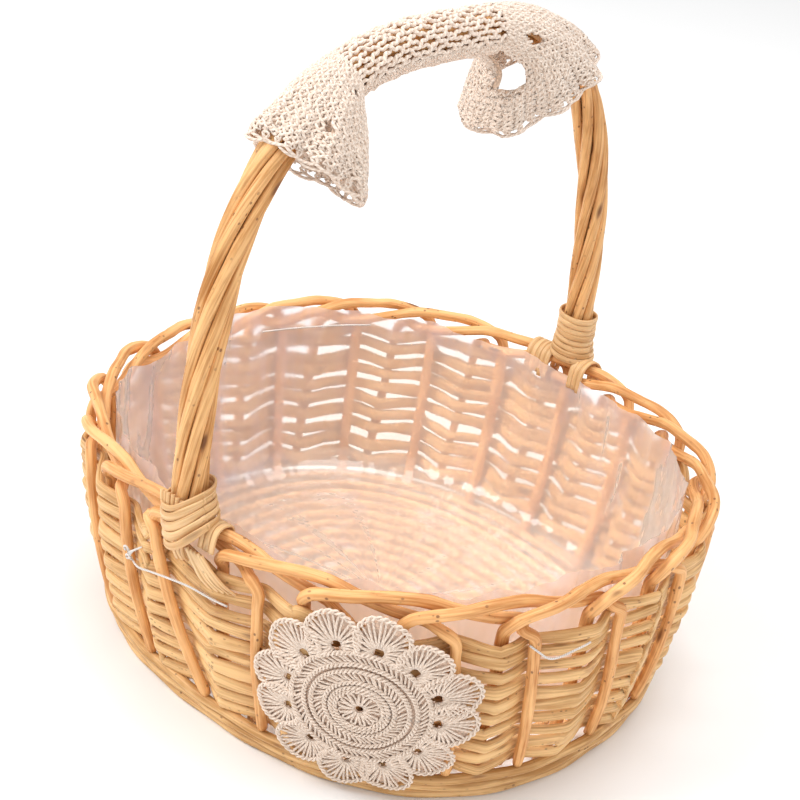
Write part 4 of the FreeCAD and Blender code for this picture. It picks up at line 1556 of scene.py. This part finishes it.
# ---------------------------------------------------------------- foot bindings
@dataclass
class FootBindings:
    """Flat split cane that ties the handle's feet to the border."""

    thick: float = 0.62

    def strip(self, bundle: Bundle, points: Sequence[Vector], width: float, facing: Facing,
              tone: float, closed: bool = False) -> None:
        """Adds one flat strip.

        Args:
            bundle: The piece that it belongs to.
            points: Its middle line in metres.
            width: Its width in millimetres.
            facing: The direction of its width at a point's number.
            tone: How deep its colour is.
            closed: Whether it is a loop.
        """
        rings = []
        for number, point in enumerate(points):
            wide = width / 2 * (1 + 0.08 * wander(tone * 9.0, number * 0.23))
            rings.append(Ring(point, wide * MM, self.thick * MM, facing(number)))
        bundle.add(grow_rod(rings, 10, tone, start=tone * 3.0, boxy=3.2, closed=closed))

    def loop(self, bundle: Bundle, centre: Vector, radius: tuple[float, float], rise: float,
             towards: float, width: float, seed: float) -> None:
        """Adds one turn round a foot that climbs on one side.

        Args:
            bundle: The piece that it belongs to.
            centre: The middle of the turn's low side, in millimetres.
            radius: Half width along X and along Y, in millimetres.
            rise: How far it climbs, in millimetres.
            towards: The bearing of the side that it climbs to, in degrees.
            width: The strip's width in millimetres.
            seed: Picks its own unevenness.
        """
        points = []
        steps = 40
        for step in range(steps):
            angle = 2 * math.pi * step / steps
            lift = max(0.0, 0.5 + 0.5 * math.cos(angle - math.radians(towards)))
            lift = lift * lift * (3 - 2 * lift)
            uneven = 0.35 * ripple(seed, angle, 0.0, 1.3)
            points.append(Vector((centre.x + (radius[0] + uneven) * math.cos(angle),
                                  centre.y + (radius[1] + uneven) * math.sin(angle),
                                  centre.z + rise * lift + 0.5 * uneven)) * MM)
        self.strip(bundle, points, width, lambda n: UP, 0.5 + 0.4 * wander(seed, 2.0), closed=True)

    def wall_strip(self, bundle: Bundle, stops: Sequence[Spot], width: float, tone: float) -> None:
        """Adds a strip whose width lies along the wall.

        Args:
            bundle: The piece that it belongs to.
            stops: Its middle line as places, heights and offsets.
            width: Its width in millimetres.
            tone: How deep its colour is.
        """
        points = smooth_line([FORM.wall(*stop) for stop in stops], 5)
        place = stops[0][0]
        along = UP.cross(FORM.normal(place, 100.0))
        self.strip(bundle, points, width, lambda n: along, tone)

    def near(self, finish: bpy.types.Material) -> None:
        """The binding of the -Y foot."""
        wraps = Bundle("near_foot_cane_wraps")
        turns = ((0.0, -134.0, 117.2, 3.0), (0.8, -134.4, 113.4, 3.9), (2.0, -134.8, 109.2, 4.1),
                 (3.6, -135.2, 105.2, 3.9), (5.4, -135.6, 101.4, 3.7))
        for number, (x, y, z, width) in enumerate(turns):
            self.loop(wraps, Vector((x, y, z)), (10.6, 10.9), 9.0 + number, 38.0, width,
                      number * 1.9 + 0.4)
        for stub in range(6):
            foot = Vector((-5.4 + 2.1 * stub, -143.2 + 0.35 * abs(stub - 2.0), 116.0))
            head = foot + Vector((-1.9 + 0.3 * stub, 0.7, 7.8 - 0.5 * abs(stub - 2.5)))
            bow = (foot + head) * 0.5 * MM + Vector((0.0003, -0.0004, 0.0))
            points = smooth_line([foot * MM, bow, head * MM], 4)
            rings = [Ring(point, 1.05 * MM, 0.85 * MM, LONG) for point in points]
            wraps.add(grow_rod(rings, 8, 0.3 + 0.1 * stub, start=stub * 0.5))
        wraps.finish(finish, Slot.CANE, ["near_foot_wraps"])
        fan = Bundle("near_foot_cane_fan")
        for number in range(5):
            top, low = 15.93 + 0.050 * number, 16.18 + 0.078 * number
            self.wall_strip(fan, [(top, 101.0, 9.4), (blend(top, low, 0.35), 96.0, 9.0),
                                  (blend(top, low, 0.75), 89.5 + 0.6 * number, 8.2),
                                  (low + 0.03, 84.0 + number, 5.6)], 2.75, 0.15 + 0.17 * number)
        for number in range(3):
            place = 15.70 + 0.07 * number
            self.wall_strip(fan, [(place, 101.0, 8.8), (place + 0.01, 95.0, 8.0),
                                  (place + 0.015, 89.5 + number, 6.0)], 2.4, 0.3 + 0.2 * number)
        for number in range(3):
            place = 16.06 + 0.075 * number
            self.wall_strip(fan, [(place, 103.0, 7.2), (place, 111.6, 5.0),
                                  (place - 0.02, 113.0, 0.0), (place - 0.03, 110.5, -5.6),
                                  (place - 0.03, 101.0, -7.6)], 3.0, 0.2 + 0.2 * number)
        fan.finish(finish, Slot.CANE, ["near_foot_lashing"])

    def far(self, finish: bpy.types.Material) -> None:
        """The binding of the +Y foot."""
        wraps = Bundle("far_foot_cane_wraps")
        for number in range(8):
            radius = 9.7 + 0.5 * max(0, 3 - number)
            centre = Vector((0.0, 133.4, 112.0 + 3.15 * number))
            self.loop(wraps, centre, (radius, radius), 1.6, 200.0, 3.1, number * 2.3 + 7.0)
        wraps.finish(finish, Slot.CANE, ["far_foot_wraps"])
        cross = Bundle("far_foot_cane_straps")
        for side, count in ((1, 5), (-1, 3)):
            for number in range(count):
                place = 5.25 + side * (0.20 + 0.072 * number)
                drop = 1.5 * wander(number + side * 3.0, 0.6)
                stops = [(place + side * 0.05, 98.0 + drop, 7.3),
                         (place + side * 0.02, 108.0, 7.6), (place, 112.4, 3.8),
                         (place, 112.8, -2.4), (place, 109.0, -6.6), (place, 98.0 + drop, -7.8)]
                self.wall_strip(cross, stops, 3.0, 0.2 + 0.13 * number)
        cross.finish(finish, Slot.CANE, ["far_foot_lashing"])

    def build_all(self) -> None:
        """Ties both feet."""
        finish = CANE_FINISH.material()
        self.near(finish)
        self.far(finish)


# ---------------------------------------------------------------- the liner's thread
@dataclass
class LinerThread:
    """White cotton thread that tacks the film to the weave."""

    radius: float = 0.5
    knot_steps: int = 34
    runs: tuple[tuple[Spot, ...], ...] = (
        ((14.93, 71.0, 6.2), (15.10, 70.6, 7.6), (15.30, 73.2, 7.6), (15.62, 77.4, 7.9),
         (15.95, 80.0, 7.3), (16.25, 80.6, 7.1), (16.42, 80.0, 5.6)),
        ((19.44, 91.0, 5.4), (19.52, 88.4, 7.4), (19.64, 84.2, 7.7), (19.76, 83.4, 7.6),
         (19.92, 84.6, 7.4), (20.08, 85.4, 7.0), (20.18, 84.6, 5.4)),
        ((8.05, 100.0, -11.0), (8.35, 99.4, -11.4), (8.75, 98.7, -11.6), (9.15, 98.6, -11.4),
         (9.70, 99.4, -11.0)),
    )

    def build_all(self) -> None:
        """Lays the stitches and ties the knot."""
        bundle = Bundle("white_thread")
        for number, run in enumerate(self.runs):
            points = smooth_line([FORM.wall(*stop) for stop in run], 6)
            bundle.add(yarn(points, self.radius, lambda n: UP, number * 1.1, sides=8))
        knot = []
        for step in range(self.knot_steps):
            turn = 2 * math.pi * step / 12
            knot.append(FORM.wall(14.96 + 0.030 * math.cos(turn) - 0.0012 * step,
                                  71.5 + 1.5 * math.sin(turn) + 0.16 * step,
                                  7.7 + 0.7 * math.sin(turn * 0.5)))
        bundle.add(yarn(knot, self.radius, lambda n: UP, 4.0, sides=8))
        for end in (-1.0, 0.4, 1.6):
            tail = smooth_line([FORM.wall(14.97, 73.5, 7.8),
                                FORM.wall(15.02 + 0.03 * end, 77.0 + end, 8.2),
                                FORM.wall(15.12 + 0.04 * end, 80.5 + 1.6 * end, 7.4)], 6)
            bundle.add(yarn(tail, self.radius * 0.8, lambda n: UP, 5.0 + end, sides=8))
        bundle.finish(THREAD_FINISH.material(), Slot.THREAD, ["liner_stitches"])


# ---------------------------------------------------------------- the film liner
@dataclass
class FilmLiner:
    """A thin film that lines the wall and the base in gathers."""

    offset: float = -8.6
    floor: float = 13.6
    top: float = 106.0
    around: int = 336
    up: int = 26
    inwards: int = 15

    def point(self, place: float, share: float) -> Vector:
        """A point of the film at a place and a share of its height."""
        crest = max(0.0, wander(0.9, place * 0.55)) * 5.0 + 2.2 * wander(1.9, place * 2.4)
        height = blend(self.floor, self.top + crest, share)
        fold = 2.1 * wander(4.1, place * 1.6 + 0.4 * wander(2.0, share * 2.0 + place * 0.2))
        fold += 1.1 * wander(6.6, place * 4.2 + share * 0.8)
        fold *= 0.35 + 0.65 * share
        tuck = max(0.0, 0.14 - share) ** 2 * 900.0
        crumple = 0.7 * wander(9.1 + place * 0.9, share * 6.0)
        return FORM.wall(place, height, self.offset - 1.4 + fold + crumple - tuck)

    def film(self) -> bmesh.types.BMesh:
        """The film, grown up the wall and then inwards over the base."""
        bm, places = cloth_circle(self.around, "place", FORM.stakes)
        edges = foot = list(bm.edges)
        for vert in bm.verts:
            vert.co = self.point(vert[places], 0.0)
        for step in range(1, self.up + 1):
            verts, edges = grow_ring(bm, edges)
            for vert in verts:
                vert.co = self.point(vert[places], step / self.up)
        edges = foot
        for step in range(1, self.inwards):
            verts, edges = grow_ring(bm, edges)
            shrink = 1 - step / self.inwards
            for vert in verts:
                edge = self.point(vert[places], 0.0)
                ridge = 0.9 * wander(5.0, vert[places] * 1.9 + step * 0.1)
                ridge *= math.sin(math.pi * shrink)
                vert.co = Vector((edge.x * shrink, edge.y * shrink, edge.z + ridge * MM))
        bmesh.ops.edgeloop_fill(bm, edges=edges)
        return smooth_cloth(bm)

    def build_all(self) -> None:
        bundle = Bundle("film_liner", self.film())
        piece = bundle.finish(FilmFinish().material(), Slot.FILM, ["liner"])


# ---------------------------------------------------------------- the studio
@dataclass
class Studio:
    """Camera, floor and soft lights."""

    azimuth: float = 0.6881
    elevation: float = 0.4740
    roll: float = 0.1280
    distance: float = 0.7916
    target: Spot = (-0.005547, 0.003026, 0.12122)
    lens: float = 74.88
    sensor: float = 36.0
    near: float = 0.01
    floor_half: float = 6.0
    aim: Spot = (0.0, 0.0, 0.1)
    air: float = 0.70
    lamps: tuple[tuple[str, Spot, float, float], ...] = (
        ("key", (-0.8, -1.0, 1.5), 0.9, 22.0), ("fill", (1.5, -0.6, 0.9), 1.4, 4.5),
        ("top", (0.2, 0.3, 1.9), 1.0, 15.0))

    def camera(self) -> None:
        """Stands the camera up and aims it."""
        level = math.cos(self.elevation)
        back = Vector((math.sin(self.azimuth) * level, -math.cos(self.azimuth) * level,
                       math.sin(self.elevation)))
        right = (-back).cross(UP).normalized()
        above = right.cross(-back)
        side = math.cos(self.roll) * right + math.sin(self.roll) * above
        head = -math.sin(self.roll) * right + math.cos(self.roll) * above
        place = Vector(self.target) + back * self.distance
        data = bpy.data.cameras.new("camera")
        data.lens = self.lens
        data.sensor_width = self.sensor
        data.clip_start = self.near
        camera = bpy.data.objects.new("camera", data)
        bpy.context.scene.collection.objects.link(camera)
        columns = (side, head, back, place)
        camera.matrix_world = Matrix([[column[row] for column in columns] for row in range(3)]
                                     + [[0, 0, 0, 1]])
        bpy.context.scene.camera = camera

    def floor(self) -> None:
        """Lays a wide pale floor."""
        bm = bmesh.new()
        bmesh.ops.create_grid(bm, x_segments=1, y_segments=1, size=self.floor_half)
        data = bpy.data.meshes.new("floor")
        bm.to_mesh(data)
        bm.free()
        piece = bpy.data.objects.new("floor", data)
        bpy.context.scene.collection.objects.link(piece)
        material, _, shader = start_material("floor_paper")
        shader.inputs["Base Color"].default_value = (0.93, 0.93, 0.93, 1.0)
        shader.inputs["Roughness"].default_value = 0.9
        shader.inputs["Specular IOR Level"].default_value = 0.0
        data.materials.append(material)

    def light(self, name: str, place: Sequence[float], width: float, power: float) -> None:
        """Hangs one square area light that faces the basket."""
        data = bpy.data.lights.new(name, "AREA")
        data.size = width
        data.energy = power
        lamp = bpy.data.objects.new(name, data)
        bpy.context.scene.collection.objects.link(lamp)
        lamp.location = place
        aim = Vector(self.aim) - Vector(place)
        lamp.rotation_euler = aim.to_track_quat("-Z", "Y").to_euler()

    def build_all(self) -> None:
        """Sets up the whole studio."""
        self.camera()
        self.floor()
        for lamp in self.lamps:
            self.light(*lamp)
        world = bpy.data.worlds.new("studio_air")
        world.use_nodes = True
        sky = world.node_tree.nodes["Background"]
        sky.inputs["Color"].default_value = (1.0, 1.0, 1.0, 1.0)
        sky.inputs["Strength"].default_value = self.air
        bpy.context.scene.world = world
        bpy.context.scene.view_settings.view_transform = "Standard"


def main() -> None:
    """Loads the frame and builds every sub-assembly on it."""
    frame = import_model()
    Studio().build_all()
    rods = BorderRods()
    rods.build_all()
    SideWeave(rods).build_all()
    FootWaling().build_all()
    TwistedHandle().build_all()
    BasketBase().build_all(frame["nodes"])
    FootBindings().build_all()
    CrochetTrim().build_all()
    LinerThread().build_all()
    FilmLiner().build_all()


if __name__ == "__main__":
    main()
